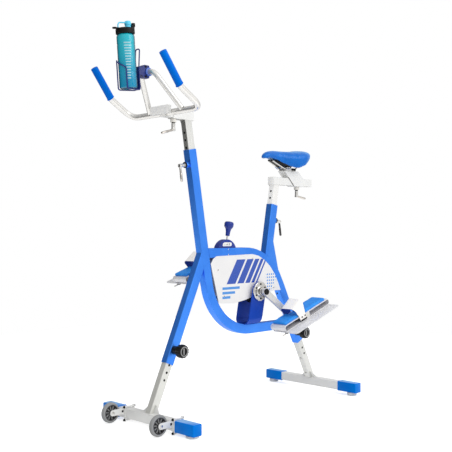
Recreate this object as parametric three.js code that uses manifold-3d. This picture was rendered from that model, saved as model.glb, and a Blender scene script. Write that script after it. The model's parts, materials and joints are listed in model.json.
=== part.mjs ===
// An exercise bike for the pool: a bent rectangular-tube frame on two T-shaped legs, with a sliding
// mast and handlebar, a sliding saddle, long platform pedals and a drinking bottle in a wire cage.
//
// Millimetres. The rider's left is +X, the front is -Y and up is +Z. Lengths along the bike (y) are
// measured from the resistance lever's pivot and heights (z) from the floor; the last lines move the
// whole bike so that the origin is the middle of its footprint.
import * as THREE from 'three';
import { mergeVertices } from 'three/addons/utils/BufferGeometryUtils.js';
import Module from 'manifold-3d';

const wasm = await Module();
wasm.setup();

const deg = Math.PI / 180;

// Gaps and overruns shared by all pieces.
const seatGap = 0.3; // between two pieces that are welded, pressed or screwed together
const slideGap = 0.3; // between a post and the tube it slides in, on each side
const overrun = 5; // how far a cutting shape runs past what it cuts
const weldDepth = 1; // how far a welded detail reaches into its carrier's wall
const finest = 1e-4; // vertices closer than this are one

// The frame's rectangular tube, across the bike, in the side view, and its wall.
const tube = { wide: 35, deep: 42, wall: 2.2 };
const post = {
  wide: tube.wide - 2 * tube.wall - 2 * slideGap,
  deep: tube.deep - 2 * tube.wall - 2 * slideGap,
  wall: 2.2,
  holeRadius: 4,
};

// Main tube: the mast sleeve, its long bend and the bottom tube.
const mast = { topY: -215.5, topZ: 1127, lean: 9.8 * deg, bendRadius: 260, bendSteps: 14 };
const bottomTube = { z: 338.5 };

// Top tube, which bends down into the rear leg's sleeve.
const topTube = { z: 687, bendRadius: 265, bendSteps: 12 };

// Floor bars with their end caps and feet.
const bar = { halfLength: 280, size: 40, wall: 2, cornerRadius: 3 };
const cap = { size: 46, length: 103, end: 8, cornerRadius: 5 };
const frontBar = { y: -434, z: 32 };
const rearBar = { y: 610, z: 38.5 };
const frontFoot = { radius: 26, inset: 28 };
const rearFoot = { radius: 23, inset: 35 };
const foot = { lipShare: 0.3, rimShare: 0.88 };
const gusset = { wide: 36, high: 34, thick: 4, topWide: 6 };

// Legs: each post runs up from its bar into a sleeve of the frame.
const frontLeg = {
  lean: 24.2 * deg, sleeveEndZ: 238, insert: 230, sideHolesZ: [234, 205, 176], frontHolesZ: [],
};
const rearLeg = {
  lean: 27.3 * deg, sleeveEndZ: 248, insert: 230, sideHolesZ: [212, 183], frontHolesZ: [166, 90],
};

// Seat tube and the plate behind it.
const seatTube = { topY: 312.5, topZ: 906, lean: 10.3 * deg, buriedZ: 640 };
const seatPlate = { thick: 8, topZ: 777, bottomZ: 545, sink: 6 };

// Mast post with the short beam that carries the handlebar.
const mastPost = { insert: 240 };
const mastHolesZ = [1198, 1167, 1136];
const mastBeam = { wide: 36, high: 38, wall: 2.5, z: 1266, frontY: -322, rearY: -208 };

// Handlebar: a slider in the beam, a bent horn tube through it and a V loop on the tube.
const slider = { gap: 0.4, wall: 2.5, rearY: -212, hollowFrontY: -332, frontY: -370 };
const frontPlate = { halfWide: 54, rearY: -366, frontY: -388, below: 8, above: 26 };
const horn = { radius: 12.5, y: -352, x: 215, bend: 50, bendSteps: 5 };
const grip = {
  bottomY: -468, bottomZ: 1336, topY: -552, topZ: 1453, radius: 15, wristBend: 26, end: 4, edge: 3,
  segments: 18,
};
const loop = { radius: 11, footX: 105, apexX: 30, apexY: -450, apexZ: 1418, bend: 26, bendSteps: 5 };

// Drinking bottle and its cage, on an axis that leans forward.
const bottle = { y: -541, z: 1341, lean: 4.6 * deg, radius: 36.5, height: 211, baseRound: 7, shoulder: 5 };
const collar = { radius: 37.5, height: 22, chamfer: 3 };
const ear = { reach: 52, radius: 8, thick: 5 };
const latch = { halfWide: 9, inner: 27, outer: 42, high: 17, tipInner: 34, tipOuter: 46, tipHigh: 8 };
const spout = { y: 11, radius: 12.5, height: 30, round: 3 };
const tether = { radius: 2, rise: 22, foot: 34, bend: 12, bendSteps: 4 };
const cage = {
  wire: 2.6, gap: 0.8, rearGap: 8, loopHalf: 12, loopTop: 158, loopBend: 9, floorBend: 10, bendSteps: 2,
  legTurn: 45 * deg, leftTop: 78, rightTop: 112, barBend: 6, plate: 3,
};
const cageClamp = { halfWide: 12, halfHigh: 27, rearReach: 5 };

// Saddle, its carriage and the beam that it slides on.
const saddleBeam = { wide: 35, high: 36, wall: 2.2, z: 1019, frontY: 304, rearY: 592 };
const seatPost = { insert: 140, holesZ: [967, 935] };
const carriage = {
  gap: 0.4, wall: 3.2, topZ: 1070, topFrontY: 380, topRearY: 486, rearY: 524, bottomFrontY: 455,
};
// Stations of the saddle from nose to tail, as shares: how far along its length, half the width of its
// half width, and from its foot to its top the crown, the widest line, the skirt's lower edge and the
// hollow underneath.
const saddle = {
  noseY: 243, tailY: 527, halfWide: 86, footZ: 1080, topZ: 1163,
  rings: 25, easeShare: 0.5, topPoints: 14, crownPower: 0.75,
};
const saddleShares = [
  { along: 0, half: 0.07, crown: 0.651, edge: 0.602, skirt: 0.542, under: 0.554 },
  { along: 0.03, half: 0.163, crown: 0.759, edge: 0.602, skirt: 0.494, under: 0.518 },
  { along: 0.1, half: 0.233, crown: 0.855, edge: 0.602, skirt: 0.446, under: 0.482 },
  { along: 0.25, half: 0.279, crown: 0.916, edge: 0.602, skirt: 0.373, under: 0.446 },
  { along: 0.4, half: 0.419, crown: 0.916, edge: 0.578, skirt: 0.229, under: 0.398 },
  { along: 0.55, half: 0.698, crown: 0.928, edge: 0.53, skirt: 0.06, under: 0.361 },
  { along: 0.66, half: 0.895, crown: 0.952, edge: 0.506, skirt: 0, under: 0.349 },
  { along: 0.8, half: 1, crown: 1, edge: 0.554, skirt: 0.169, under: 0.386 },
  { along: 0.92, half: 0.907, crown: 1, edge: 0.627, skirt: 0.386, under: 0.482 },
  { along: 0.98, half: 0.651, crown: 0.916, edge: 0.687, skirt: 0.506, under: 0.554 },
  { along: 1, half: 0.419, crown: 0.807, edge: 0.711, skirt: 0.602, under: 0.614 },
];
const saddleShell = { widthShare: 0.5, thick: 5, frontShare: 0.06, rearShare: 0.94 };
const rail = {
  radius: 3.5, half: 18, z: 1077, bend: 16, bendSteps: 3,
  noseHalf: 7, noseY: 285, noseZ: 1114, tailHalf: 24, tailY: 492, tailZ: 1110,
};
const railClamp = { halfWide: 24, frontY: 392, rearY: 460, topZ: 1084 };

// Crank bracket on the bottom tube, and the crank.
const crank = { y: 180, z: 508, armLength: 191, turn: -34.4 * deg };
const bracket = { halfWide: 40, wall: 4, cornerRadius: 28, halfDeep: 44, lean: 12 * deg, footRound: 18 };
const axle = { radius: 10, endRadius: 8, segments: 20 };
const drum = { radius: 55, halfWide: 15, edge: 3 };
const flange = { radius: 40, thick: 8, hubRadius: 18, hubOut: 62, edge: 1.5 };
const arm = { inner: 66, thick: 15, axleEnd: 16, pedalEnd: 13 };
const crankCap = { radius: 14, thick: 7, edge: 2 };

// Platform pedals, in their own frame: across (x), along (s) and up from the spindle (h).
const pedal = { x: 152.5, halfWide: 42.5, length: 335, high: 28, round: 12, wall: 3, pitch: 18.3 * deg };
const bearing = { halfLong: 15, gap: 0.3 };
const spindle = { radius: 8, reach: 36 };
const pad = {
  inset: 2.5, thick: 12, mat: 2.6, front: 156, strapFront: 58, strapRear: 11, rear: 147, corner: 9, swell: 5,
};
// The pad's rings from its foot up: shares of its swell drawn in and of its thickness.
const padLevels = [
  { insetShare: 0.34, heightShare: 0 },
  { insetShare: 0.06, heightShare: 0.2 },
  { insetShare: 0, heightShare: 0.48 },
  { insetShare: 0.16, heightShare: 0.76 },
  { insetShare: 0.6, heightShare: 0.93 },
  { insetShare: 1.6, heightShare: 0.985 },
  { insetShare: 3.4, heightShare: 1 },
];
const strap = {
  thick: 3, shoulder: 22, steps: 6, down: 10, frontTop: 62, rearTop: 86,
  baseFront: 54, baseRear: 16, topFront: 84, topRear: 20,
};
const fin = { thick: 4, inner: 40, outer: 102, front: 165, rear: 165, corner: 14 };
const clip = { x: 30, s: 148, radius: 7, high: 14, lever: 30, leverWide: 8, leverThick: 4 };

// Side panels over the frame's opening: the outline in the side view as shares of the panel's length
// and height, from the lower front corner up.
const panel = { thick: 3, axleHole: 14, frontY: -99, rearY: 352, bottomZ: 462, topZ: 677 };
const panelShares = [
  [0.122, 0.028], [0.1, 0.163], [0.062, 0.419], [0.024, 0.66], [0, 0.837], [0.009, 0.93],
  [0.053, 0.981], [0.22, 0.991], [0.448, 1], [0.565, 1], [0.654, 0.963], [0.749, 0.865],
  [0.831, 0.73], [0.905, 0.553], [0.958, 0.367], [1, 0.191], [0.889, 0.195], [0.718, 0.149],
  [0.552, 0.093], [0.448, 0.042], [0.29, 0],
];

// Resistance lever and its half-round housing on the top tube.
const dome = { halfChord: 55, high: 37, midY: -3, halfWide: 14, arcSteps: 16 };
const slot = { halfWide: 4.5, halfLong: 28, floor: 5 };
const lever = {
  y: 5, lift: 13, lean: -11 * deg, hubRadius: 6, hubHalf: 4, rodRadius: 3.5, knobFoot: 40, knobTop: 104,
};
const leverKnob = { footRadius: 7, neckRadius: 9, neck: 18, topRadius: 19, flare: 42, round: 5 };

// Clamp levers and the round bosses that they screw into.
const boss = { radius: 12, length: 14, bore: 4.6 };
const clampLever = {
  washerRadius: 13, washer: 6, hubRadius: 8.5, hub: 30, studRadius: 4, armRadius: 5.2, armLength: 68,
};
const mastClamp = { z: 1066, splay: -2 * deg };
const seatClamp = { z: 838, splay: 19 * deg };
const beamClamp = { y: -308, splay: 9 * deg };
const carriageClamp = { y: 495, splay: 9 * deg };

// Round knobs that pin the legs.
const knob = {
  radius: 28, thick: 28, neckRadius: 13, neck: 13, dish: 5, dishRadius: 17, edge: 3, studRadius: 5,
};
const knobBoss = { radius: 14, length: 20, bore: 5.4 };
const frontKnob = { z: 293 };
const rearKnob = { z: 294 };

// Transport wheels on brackets clamped to the front bar.
const wheel = {
  capGap: 1, radius: 41, y: -516, z: 42.5, halfWide: 10, tyre: 9, hubRadius: 11, spokes: 5, rim: 4,
  edgeShare: 0.4, spokeShare: 0.3, coreInset: 1.5,
};
const wheelAxle = { radius: 5, gap: 0.4, head: 8, headThick: 4 };
const wheelArm = { inner: 13, thick: 4, endRadius: 12 };
const clampPlate = { wide: 13, halfHigh: 32, thick: 4, boltRadius: 3.5, boltHigh: 26.5 };

const wheelX = bar.halfLength - cap.length - wheel.capGap - wheelArm.inner - clampPlate.wide;

// Materials.
const finish = (color, roughness, metalness) =>
  new THREE.MeshStandardMaterial({ color, roughness, metalness });
const finishes = {
  framePaint: () => finish(0x3f7fe8, 0.35, 0),
  steel: () => finish(0xd8d8d4, 0.3, 0.9),
  chrome: () => finish(0xe6e6e4, 0.12, 1),
  capPlastic: () => finish(0x0a69d7, 0.4, 0),
  grip: () => finish(0x0564d7, 0.6, 0),
  black: () => finish(0x1c1a1a, 0.5, 0),
  panel: () => finish(0xf4f2f2, 0.3, 0),
  navy: () => finish(0x1e3c91, 0.35, 0),
  foot: () => finish(0xf0f0ee, 0.5, 0),
  tyre: () => finish(0x87898a, 0.7, 0),
  saddle: () => finish(0x196ed2, 0.4, 0),
  foam: () => finish(0x3ca0f5, 0.75, 0),
  strap: () => finish(0x1e4696, 0.8, 0),
  fin: () => finish(0xdcdcde, 0.3, 0),
  bottle: () => finish(0x1496b4, 0.1, 0),
  spout: () => finish(0x5fcdfa, 0.4, 0),
};

// Solids: a closed geometry to and from a manifold, and cuts and joins on geometries.
function toSolid(geometry) {
  const bare = geometry.clone();
  for (const name of ['normal', 'uv']) bare.deleteAttribute(name);
  const welded = mergeVertices(bare, finest);
  const vertProperties = Float32Array.from(welded.attributes.position.array);
  const triVerts = Uint32Array.from(welded.index.array);
  return new wasm.Manifold(new wasm.Mesh({ numProp: 3, vertProperties, triVerts }));
}

function toGeometry(solid) {
  const mesh = solid.getMesh();
  const geometry = new THREE.BufferGeometry();
  geometry.setAttribute('position', new THREE.BufferAttribute(Float32Array.from(mesh.vertProperties), 3));
  geometry.setIndex(new THREE.BufferAttribute(Uint32Array.from(mesh.triVerts), 1));
  geometry.computeVertexNormals();
  return geometry;
}

const joined = (...pieces) => toGeometry(pieces.map(toSolid).reduce((whole, piece) => whole.add(piece)));
const cut = (piece, ...tools) =>
  toGeometry(tools.map(toSolid).reduce((rest, tool) => rest.subtract(tool), toSolid(piece)));
const common = (a, b) => toGeometry(toSolid(a).intersect(toSolid(b)));

// Side view: x of a 2-D point is the bike's y, and y of it is the bike's z.
const sideView = new THREE.Matrix4().makeBasis(
  new THREE.Vector3(0, 1, 0),
  new THREE.Vector3(0, 0, 1),
  new THREE.Vector3(1, 0, 0),
);
const at = (y, z) => new THREE.Vector2(y, z);
const upAlong = (lean) => at(-Math.sin(lean), Math.cos(lean)); // up an axis that leans forward by lean
const move = (point, direction, distance) => point.clone().addScaledVector(direction, distance);
const rightOf = (direction) => at(direction.y, -direction.x);

// The point at a height on an axis.
function atHeight(point, direction, z) {
  return move(point, direction, (z - point.y) / direction.y);
}

// A side-view outline extruded across the bike from one x to another.
function across(shape, fromX, toX, curveSegments = 8) {
  const settings = { depth: toX - fromX, bevelEnabled: false, curveSegments };
  return new THREE.ExtrudeGeometry(shape, settings).translate(0, 0, fromX).applyMatrix4(sideView);
}

// A box between two corners.
function box(low, high) {
  const size = high.clone().sub(low);
  const middle = low.clone().addScaledVector(size, 0.5);
  return new THREE.BoxGeometry(size.x, size.y, size.z).translate(middle.x, middle.y, middle.z);
}
const point = (x, y, z) => new THREE.Vector3(x, y, z);

// A round bar between two points.
function rod(from, to, radius, segments = 14, endRadius = radius) {
  const length = from.distanceTo(to);
  const direction = to.clone().sub(from).normalize();
  const turn = new THREE.Quaternion().setFromUnitVectors(point(0, 1, 0), direction);
  const middle = from.clone().lerp(to, 0.5);
  return new THREE.CylinderGeometry(endRadius, radius, length, segments)
    .applyQuaternion(turn)
    .translate(middle.x, middle.y, middle.z);
}

// A straight run, a bend of a given radius and a second straight run, in the side view.
function bentPath(start, corner, end, radius, steps) {
  const into = corner.clone().sub(start).normalize();
  const out = end.clone().sub(corner).normalize();
  const turn = Math.acos(into.dot(out));
  const tangent = radius * Math.tan(turn / 2);
  const side = Math.sign(into.cross(out));
  const from = move(corner, into, -tangent);
  const centre = move(from, rightOf(into), -side * radius);
  const spoke = from.clone().sub(centre);
  const path = [start];
  for (let step = 0; step <= steps; step += 1) {
    path.push(spoke.clone().rotateAround(at(0, 0), side * turn * (step / steps)).add(centre));
  }
  path.push(end);
  return path;
}

// The outline that stays a given distance either side of a path.
function ribbon(path, left, right = left) {
  const ahead = [];
  const back = [];
  path.forEach((here, index) => {
    const before = path[Math.max(index - 1, 0)];
    const after = path[Math.min(index + 1, path.length - 1)];
    const into = here.clone().sub(before).normalize();
    const out = after.clone().sub(here).normalize();
    const heading = into.clone().add(out).normalize();
    const stretch = 1 / Math.max(heading.dot(index === 0 ? out : into), 0.1);
    ahead.push(move(here, rightOf(heading), right * stretch));
    back.unshift(move(here, rightOf(heading), -left * stretch));
  });
  return [...ahead, ...back];
}

// A path with its two ends run on by a distance.
function runOn(path, distance) {
  const first = path[0].clone().sub(path[1]).normalize();
  const last = path.at(-1).clone().sub(path.at(-2)).normalize();
  return [move(path[0], first, distance), ...path.slice(1, -1), move(path.at(-1), last, distance)];
}

// A rectangular tube along a side-view path, and the full block that it fills.
function solidTube(path, section, extra = 0) {
  const half = section.wide / 2 + extra;
  return across(new THREE.Shape(ribbon(path, section.deep / 2 + extra)), -half, half);
}
function openTube(path, section) {
  const inside = { wide: section.wide - 2 * section.wall, deep: section.deep - 2 * section.wall };
  return cut(solidTube(path, section), solidTube(runOn(path, overrun), inside));
}

// A rounded square outline, centred.
function roundedSquare(size, radius) {
  const flat = size / 2 - radius;
  const shape = new THREE.Shape();
  const corners = [[flat, flat, 0], [-flat, flat, 90], [-flat, -flat, 180], [flat, -flat, 270]];
  for (const [x, y, start] of corners) {
    shape.absarc(x, y, radius, start * deg, (start + 90) * deg);
  }
  shape.closePath();
  return shape;
}

// A turned solid: pairs of radius and distance along +X.
function turned(profile, segments = 20) {
  const outline = profile.map(([radius, along]) => new THREE.Vector2(radius, along));
  return new THREE.LatheGeometry(outline, segments).rotateZ(-Math.PI / 2);
}

// A curve through stations that lie as close together as the bends need.
class Stations extends THREE.Curve {
  constructor(spots) {
    super();
    this.spots = spots;
  }

  getPoint(share, target = point(0, 0, 0)) {
    const place = share * (this.spots.length - 1);
    const index = Math.min(Math.floor(place), this.spots.length - 2);
    return target.lerpVectors(this.spots[index], this.spots[index + 1], place - index);
  }

  getPointAt(share, target) {
    return this.getPoint(share, target);
  }

  getTangentAt(share, target) {
    return this.getTangent(share, target);
  }
}

// A round tube along a path of straight runs; each corner starts to turn a given way before it.
function bentRod(points, bends, radius, steps, segments) {
  const spots = [points[0]];
  for (let index = 1; index < points.length - 1; index += 1) {
    const corner = points[index];
    const into = corner.clone().sub(points[index - 1]).normalize();
    const out = points[index + 1].clone().sub(corner).normalize();
    const from = corner.clone().addScaledVector(into, -bends[index - 1]);
    const to = corner.clone().addScaledVector(out, bends[index - 1]);
    spots.push(...new THREE.QuadraticBezierCurve3(from, corner, to).getPoints(steps));
  }
  spots.push(points.at(-1));
  const circle = new THREE.Shape().absarc(0, 0, radius, 0, 2 * Math.PI);
  return new THREE.ExtrudeGeometry(circle, {
    steps: spots.length - 1,
    curveSegments: segments / 2,
    extrudePath: new Stations(spots),
  });
}

// Mirror image across the bike's middle plane.
function mirrored(geometry) {
  const flipped = geometry.clone().scale(-1, 1, 1);
  const count = flipped.index ? flipped.index.count : flipped.attributes.position.count;
  const index = flipped.index ? flipped.index.array : [...Array(count).keys()];
  const reversed = [];
  for (let triangle = 0; triangle < count; triangle += 3) {
    reversed.push(index[triangle], index[triangle + 2], index[triangle + 1]);
  }
  flipped.setIndex(reversed);
  flipped.computeVertexNormals();
  return flipped;
}

function named(name, geometry, material) {
  const mesh = new THREE.Mesh(geometry, material);
  mesh.name = name;
  return mesh;
}

function group(...children) {
  const holder = new THREE.Group();
  holder.add(...children);
  return holder;
}

const sides = { left: 1, right: -1 };
const handed = (side, geometry) => (side > 0 ? geometry : mirrored(geometry));

// Axes of the frame in the side view.
const mastTop = at(mast.topY, mast.topZ);
const mastUp = upAlong(mast.lean);
const frontUp = upAlong(-frontLeg.lean);
const rearUp = upAlong(rearLeg.lean);
const seatUp = upAlong(-seatTube.lean);
const frontBarMiddle = at(frontBar.y, frontBar.z);
const rearBarMiddle = at(rearBar.y, rearBar.z);
const seatTop = at(seatTube.topY, seatTube.topZ);

const frontSleeveEnd = atHeight(frontBarMiddle, frontUp, frontLeg.sleeveEndZ);
const rearSleeveEnd = atHeight(rearBarMiddle, rearUp, rearLeg.sleeveEndZ);
const mainPath = bentPath(
  mastTop,
  atHeight(mastTop, mastUp, bottomTube.z),
  atHeight(rearBarMiddle, rearUp, bottomTube.z),
  mast.bendRadius,
  mast.bendSteps,
);
const topPath = bentPath(
  atHeight(mastTop, mastUp, topTube.z),
  atHeight(rearBarMiddle, rearUp, topTube.z),
  rearSleeveEnd,
  topTube.bendRadius,
  topTube.bendSteps,
);
const frontSleevePath = [frontSleeveEnd, atHeight(frontBarMiddle, frontUp, topTube.z)];
const seatPath = [atHeight(seatTop, seatUp, seatTube.buriedZ), seatTop];

// A boss for a clamp lever on a tube's face, from inside the wall outwards, and the bore through both.
function bossOn(from, outward, size) {
  const along = (distance) => from.clone().addScaledVector(outward, distance);
  return {
    body: rod(along(-weldDepth), along(size.length), size.radius),
    bore: rod(along(-tube.wall - overrun), along(size.length + overrun), size.bore, 10),
  };
}
const inSide = (spot, x = 0) => point(x, spot.x, spot.y);

// Places of the screws that hold the posts.
const mastForward = at(-mastUp.y, mastUp.x);
const mastBossFrom = move(atHeight(mastTop, mastUp, mastClamp.z), mastForward, tube.deep / 2);
const seatRearward = rightOf(seatUp);
const seatBossFrom = move(atHeight(seatTop, seatUp, seatClamp.z), seatRearward, tube.deep / 2);
const frontKnobSpot = atHeight(frontBarMiddle, frontUp, frontKnob.z);
const rearKnobSpot = atHeight(rearBarMiddle, rearUp, rearKnob.z);

function mainTube() {
  const screw = bossOn(inSide(mastBossFrom), inSide(mastForward), boss);
  return cut(
    joined(openTube(mainPath, tube), screw.body),
    screw.bore,
    solidTube(topPath.slice(-2), tube, seatGap),
  );
}

function topTubeBody() {
  const from = inSide(rearKnobSpot, tube.wide / 2);
  const screw = bossOn(from, point(1, 0, 0), knobBoss);
  return cut(
    joined(openTube(topPath, tube), screw.body),
    screw.bore,
    solidTube(mainPath.slice(0, 2), tube, seatGap),
  );
}

function seatTubeBody() {
  const screw = bossOn(inSide(seatBossFrom), inSide(seatRearward), boss);
  const plateTop = move(atHeight(seatTop, seatUp, seatPlate.topZ), seatRearward, tube.deep / 2);
  const plateFoot = move(atHeight(rearBarMiddle, rearUp, seatPlate.bottomZ), rightOf(rearUp), tube.deep / 2);
  const plate = across(
    new THREE.Shape([
      move(plateTop, seatRearward, -seatPlate.sink),
      move(seatPath[0], seatRearward, -seatPlate.sink),
      move(plateFoot, rightOf(rearUp), -seatPlate.sink),
      plateFoot,
      plateTop,
    ].reverse()),
    -seatPlate.thick / 2,
    seatPlate.thick / 2,
  );
  const inside = { wide: tube.wide - 2 * tube.wall, deep: tube.deep - 2 * tube.wall };
  const sleeve = joined(solidTube(seatPath, tube), plate, screw.body);
  return cut(
    sleeve,
    solidTube(runOn(seatPath, overrun), inside),
    screw.bore,
    solidTube(topPath, tube, seatGap),
  );
}

function frontSleeve() {
  const from = inSide(frontKnobSpot, tube.wide / 2);
  const screw = bossOn(from, point(1, 0, 0), knobBoss);
  return cut(
    joined(openTube(frontSleevePath, tube), screw.body),
    screw.bore,
    solidTube(mainPath, tube, seatGap),
  );
}

// U-shaped bracket that stands on the bottom tube and carries the crank between its cheeks.
function crankBracket() {
  const floor = bottomTube.z + tube.deep / 2 + seatGap;
  const top = crank.z + bracket.halfDeep;
  const channel = (inset) => {
    const half = bracket.halfWide - inset;
    const corner = bracket.cornerRadius - inset;
    const rim = top + overrun + inset;
    const shape = new THREE.Shape();
    shape.moveTo(half, rim);
    shape.lineTo(-half, rim);
    shape.lineTo(-half, floor + inset + corner);
    shape.absarc(-half + corner, floor + inset + corner, corner, 180 * deg, 270 * deg);
    shape.absarc(half - corner, floor + inset + corner, corner, 270 * deg, 360 * deg);
    shape.closePath();
    return shape;
  };
  const rear = crank.y + 2 * bracket.halfDeep;
  const front = crank.y - 3 * bracket.halfDeep;
  const trough = (inset, extra) => {
    const settings = { depth: rear - front + 2 * extra, bevelEnabled: false, curveSegments: 3 };
    return new THREE.ExtrudeGeometry(channel(inset), settings)
      .rotateX(Math.PI / 2)
      .translate(0, rear + extra, 0);
  };
  const inner = trough(bracket.wall, overrun);
  // The cheek's outline: round over the axle, then leaning down and forward to the tube.
  const middle = at(crank.y, crank.z);
  const slant = at(-Math.sin(bracket.lean), -Math.cos(bracket.lean));
  const sideOf = rightOf(slant);
  const foot = (offset) => atHeight(move(middle, sideOf, offset), slant, floor);
  const outline = new THREE.Shape();
  const startAngle = Math.atan2(sideOf.y, sideOf.x);
  outline.absarc(middle.x, middle.y, bracket.halfDeep, startAngle, startAngle + Math.PI, true);
  const rearFoot = foot(-bracket.halfDeep);
  const frontFootPoint = foot(bracket.halfDeep);
  const rearRise = move(rearFoot, slant, -bracket.footRound);
  outline.lineTo(rearRise.x, rearRise.y);
  outline.quadraticCurveTo(rearFoot.x, rearFoot.y, rearFoot.x - bracket.footRound, floor);
  outline.lineTo(frontFootPoint.x, floor);
  outline.closePath();
  const cheeks = across(outline, -bracket.halfWide - overrun, bracket.halfWide + overrun);
  const hole = rod(
    point(-bracket.halfWide - overrun, crank.y, crank.z),
    point(bracket.halfWide + overrun, crank.y, crank.z),
    axle.radius + seatGap,
    axle.segments,
  );
  return cut(common(cut(trough(0, 0), inner), cheeks), hole, solidTube(mainPath, tube, seatGap));
}

// Bearing flange on a cheek of the bracket, in the left-hand form.
function bearingFlange() {
  const inner = bracket.halfWide + seatGap;
  const bore = axle.radius + slideGap;
  const { edge } = flange;
  return turned([
    [bore, inner],
    [flange.radius - edge, inner],
    [flange.radius, inner + edge],
    [flange.radius, inner + flange.thick - edge],
    [flange.radius - edge, inner + flange.thick],
    [flange.hubRadius, inner + flange.thick + edge],
    [flange.hubRadius, flange.hubOut - edge],
    [flange.hubRadius - edge, flange.hubOut],
    [bore, flange.hubOut],
    [bore, inner],
  ], 22).translate(0, crank.y, crank.z);
}

function crankAxle() {
  const capFrom = arm.inner + arm.thick + seatGap;
  const capTo = capFrom + crankCap.thick;
  const half = [
    [drum.radius - drum.edge, drum.halfWide],
    [axle.radius, drum.halfWide],
    [axle.radius, arm.inner - seatGap],
    [axle.endRadius, arm.inner - seatGap],
    [axle.endRadius, capFrom],
    [crankCap.radius, capFrom],
    [crankCap.radius, capTo - crankCap.edge],
    [crankCap.radius - crankCap.edge, capTo],
    [0, capTo],
  ];
  const other = half.map(([radius, along]) => [radius, -along]).reverse();
  const rim = drum.halfWide - drum.edge;
  return turned([...other, [drum.radius, -rim], [drum.radius, rim], ...half], 18);
}

// Crank arm with its pedal spindle, in the left-hand form, from the axle along +y.
function crankArm() {
  const lean = Math.asin((arm.axleEnd - arm.pedalEnd) / crank.armLength);
  const shape = new THREE.Shape();
  shape.absarc(0, 0, arm.axleEnd, Math.PI / 2 - lean, 1.5 * Math.PI + lean);
  shape.absarc(crank.armLength, 0, arm.pedalEnd, 1.5 * Math.PI + lean, 2.5 * Math.PI - lean);
  shape.closePath();
  const plate = across(shape, arm.inner, arm.inner + arm.thick, 10);
  const axleBore = rod(
    point(arm.inner - overrun, 0, 0),
    point(arm.inner + arm.thick + overrun, 0, 0),
    axle.endRadius + seatGap,
    axle.segments,
  );
  const pedalPin = rod(
    point(arm.inner + arm.thick - weldDepth, crank.armLength, 0),
    point(pedal.x + spindle.reach, crank.armLength, 0),
    spindle.radius,
    18,
  );
  return cut(joined(plate, pedalPin), axleBore);
}

// A rounded rectangle in plan, and a pad that swells between its rings and is crowned on top.
function planRing(low, high, corner, inset, height, steps = 4) {
  const radius = Math.max(corner - inset, corner / 4);
  const minimum = at(low.x + inset + radius, low.y + inset + radius);
  const maximum = at(high.x - inset - radius, high.y - inset - radius);
  const corners = [
    [maximum.x, maximum.y],
    [minimum.x, maximum.y],
    [minimum.x, minimum.y],
    [maximum.x, minimum.y],
  ];
  return corners.flatMap(([x, y], quarter) =>
    Array.from({ length: steps + 1 }, (unused, step) => {
      const angle = (quarter + step / steps) * (Math.PI / 2);
      return point(x + radius * Math.cos(angle), y + radius * Math.sin(angle), height);
    }),
  );
}

// A closed skin over rings of equally many points, its ends closed on their middles.
function loft(rings) {
  const count = rings[0].length;
  const vertices = rings.flat();
  const faces = [];
  for (let ring = 0; ring + 1 < rings.length; ring += 1) {
    for (let spot = 0; spot < count; spot += 1) {
      const next = (spot + 1) % count;
      const a = ring * count + spot;
      const b = ring * count + next;
      faces.push([a, b, a + count], [b, b + count, a + count]);
    }
  }
  const close = (ring, flip) => {
    const middle = rings[ring].reduce((sum, spot) => sum.add(spot), point(0, 0, 0)).divideScalar(count);
    vertices.push(middle);
    for (let spot = 0; spot < count; spot += 1) {
      const here = ring * count + spot;
      const there = ring * count + ((spot + 1) % count);
      faces.push(flip ? [there, here, vertices.length - 1] : [here, there, vertices.length - 1]);
    }
  };
  close(0, true);
  close(rings.length - 1, false);
  const volume = faces.reduce(
    (sum, [a, b, c]) => sum + vertices[a].dot(vertices[b].clone().cross(vertices[c])),
    0,
  );
  const outward = volume > 0 ? faces : faces.map(([a, b, c]) => [a, c, b]);
  const geometry = new THREE.BufferGeometry();
  const places = vertices.flatMap((spot) => spot.toArray());
  geometry.setAttribute('position', new THREE.Float32BufferAttribute(places, 3));
  geometry.setIndex(outward.flat());
  geometry.computeVertexNormals();
  return geometry;
}

function pedalPad() {
  const bottom = pedal.high / 2 + seatGap;
  const half = pedal.halfWide - pad.inset;
  const pillow = (from, to) => {
    const low = at(-half, from);
    const high = at(half, to);
    const ring = (inset, heightShare) =>
      planRing(low, high, pad.corner, inset, bottom + heightShare * pad.thick);
    return loft(padLevels.map(({ insetShare, heightShare }) => ring(insetShare * pad.swell, heightShare)));
  };
  const mat = box(
    point(-half + pad.swell, -pad.strapFront - pad.corner, bottom),
    point(half - pad.swell, -pad.strapRear + pad.corner, bottom + pad.mat),
  );
  return joined(pillow(-pad.front, -pad.strapFront), pillow(-pad.strapRear, pad.rear), mat);
}

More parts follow.
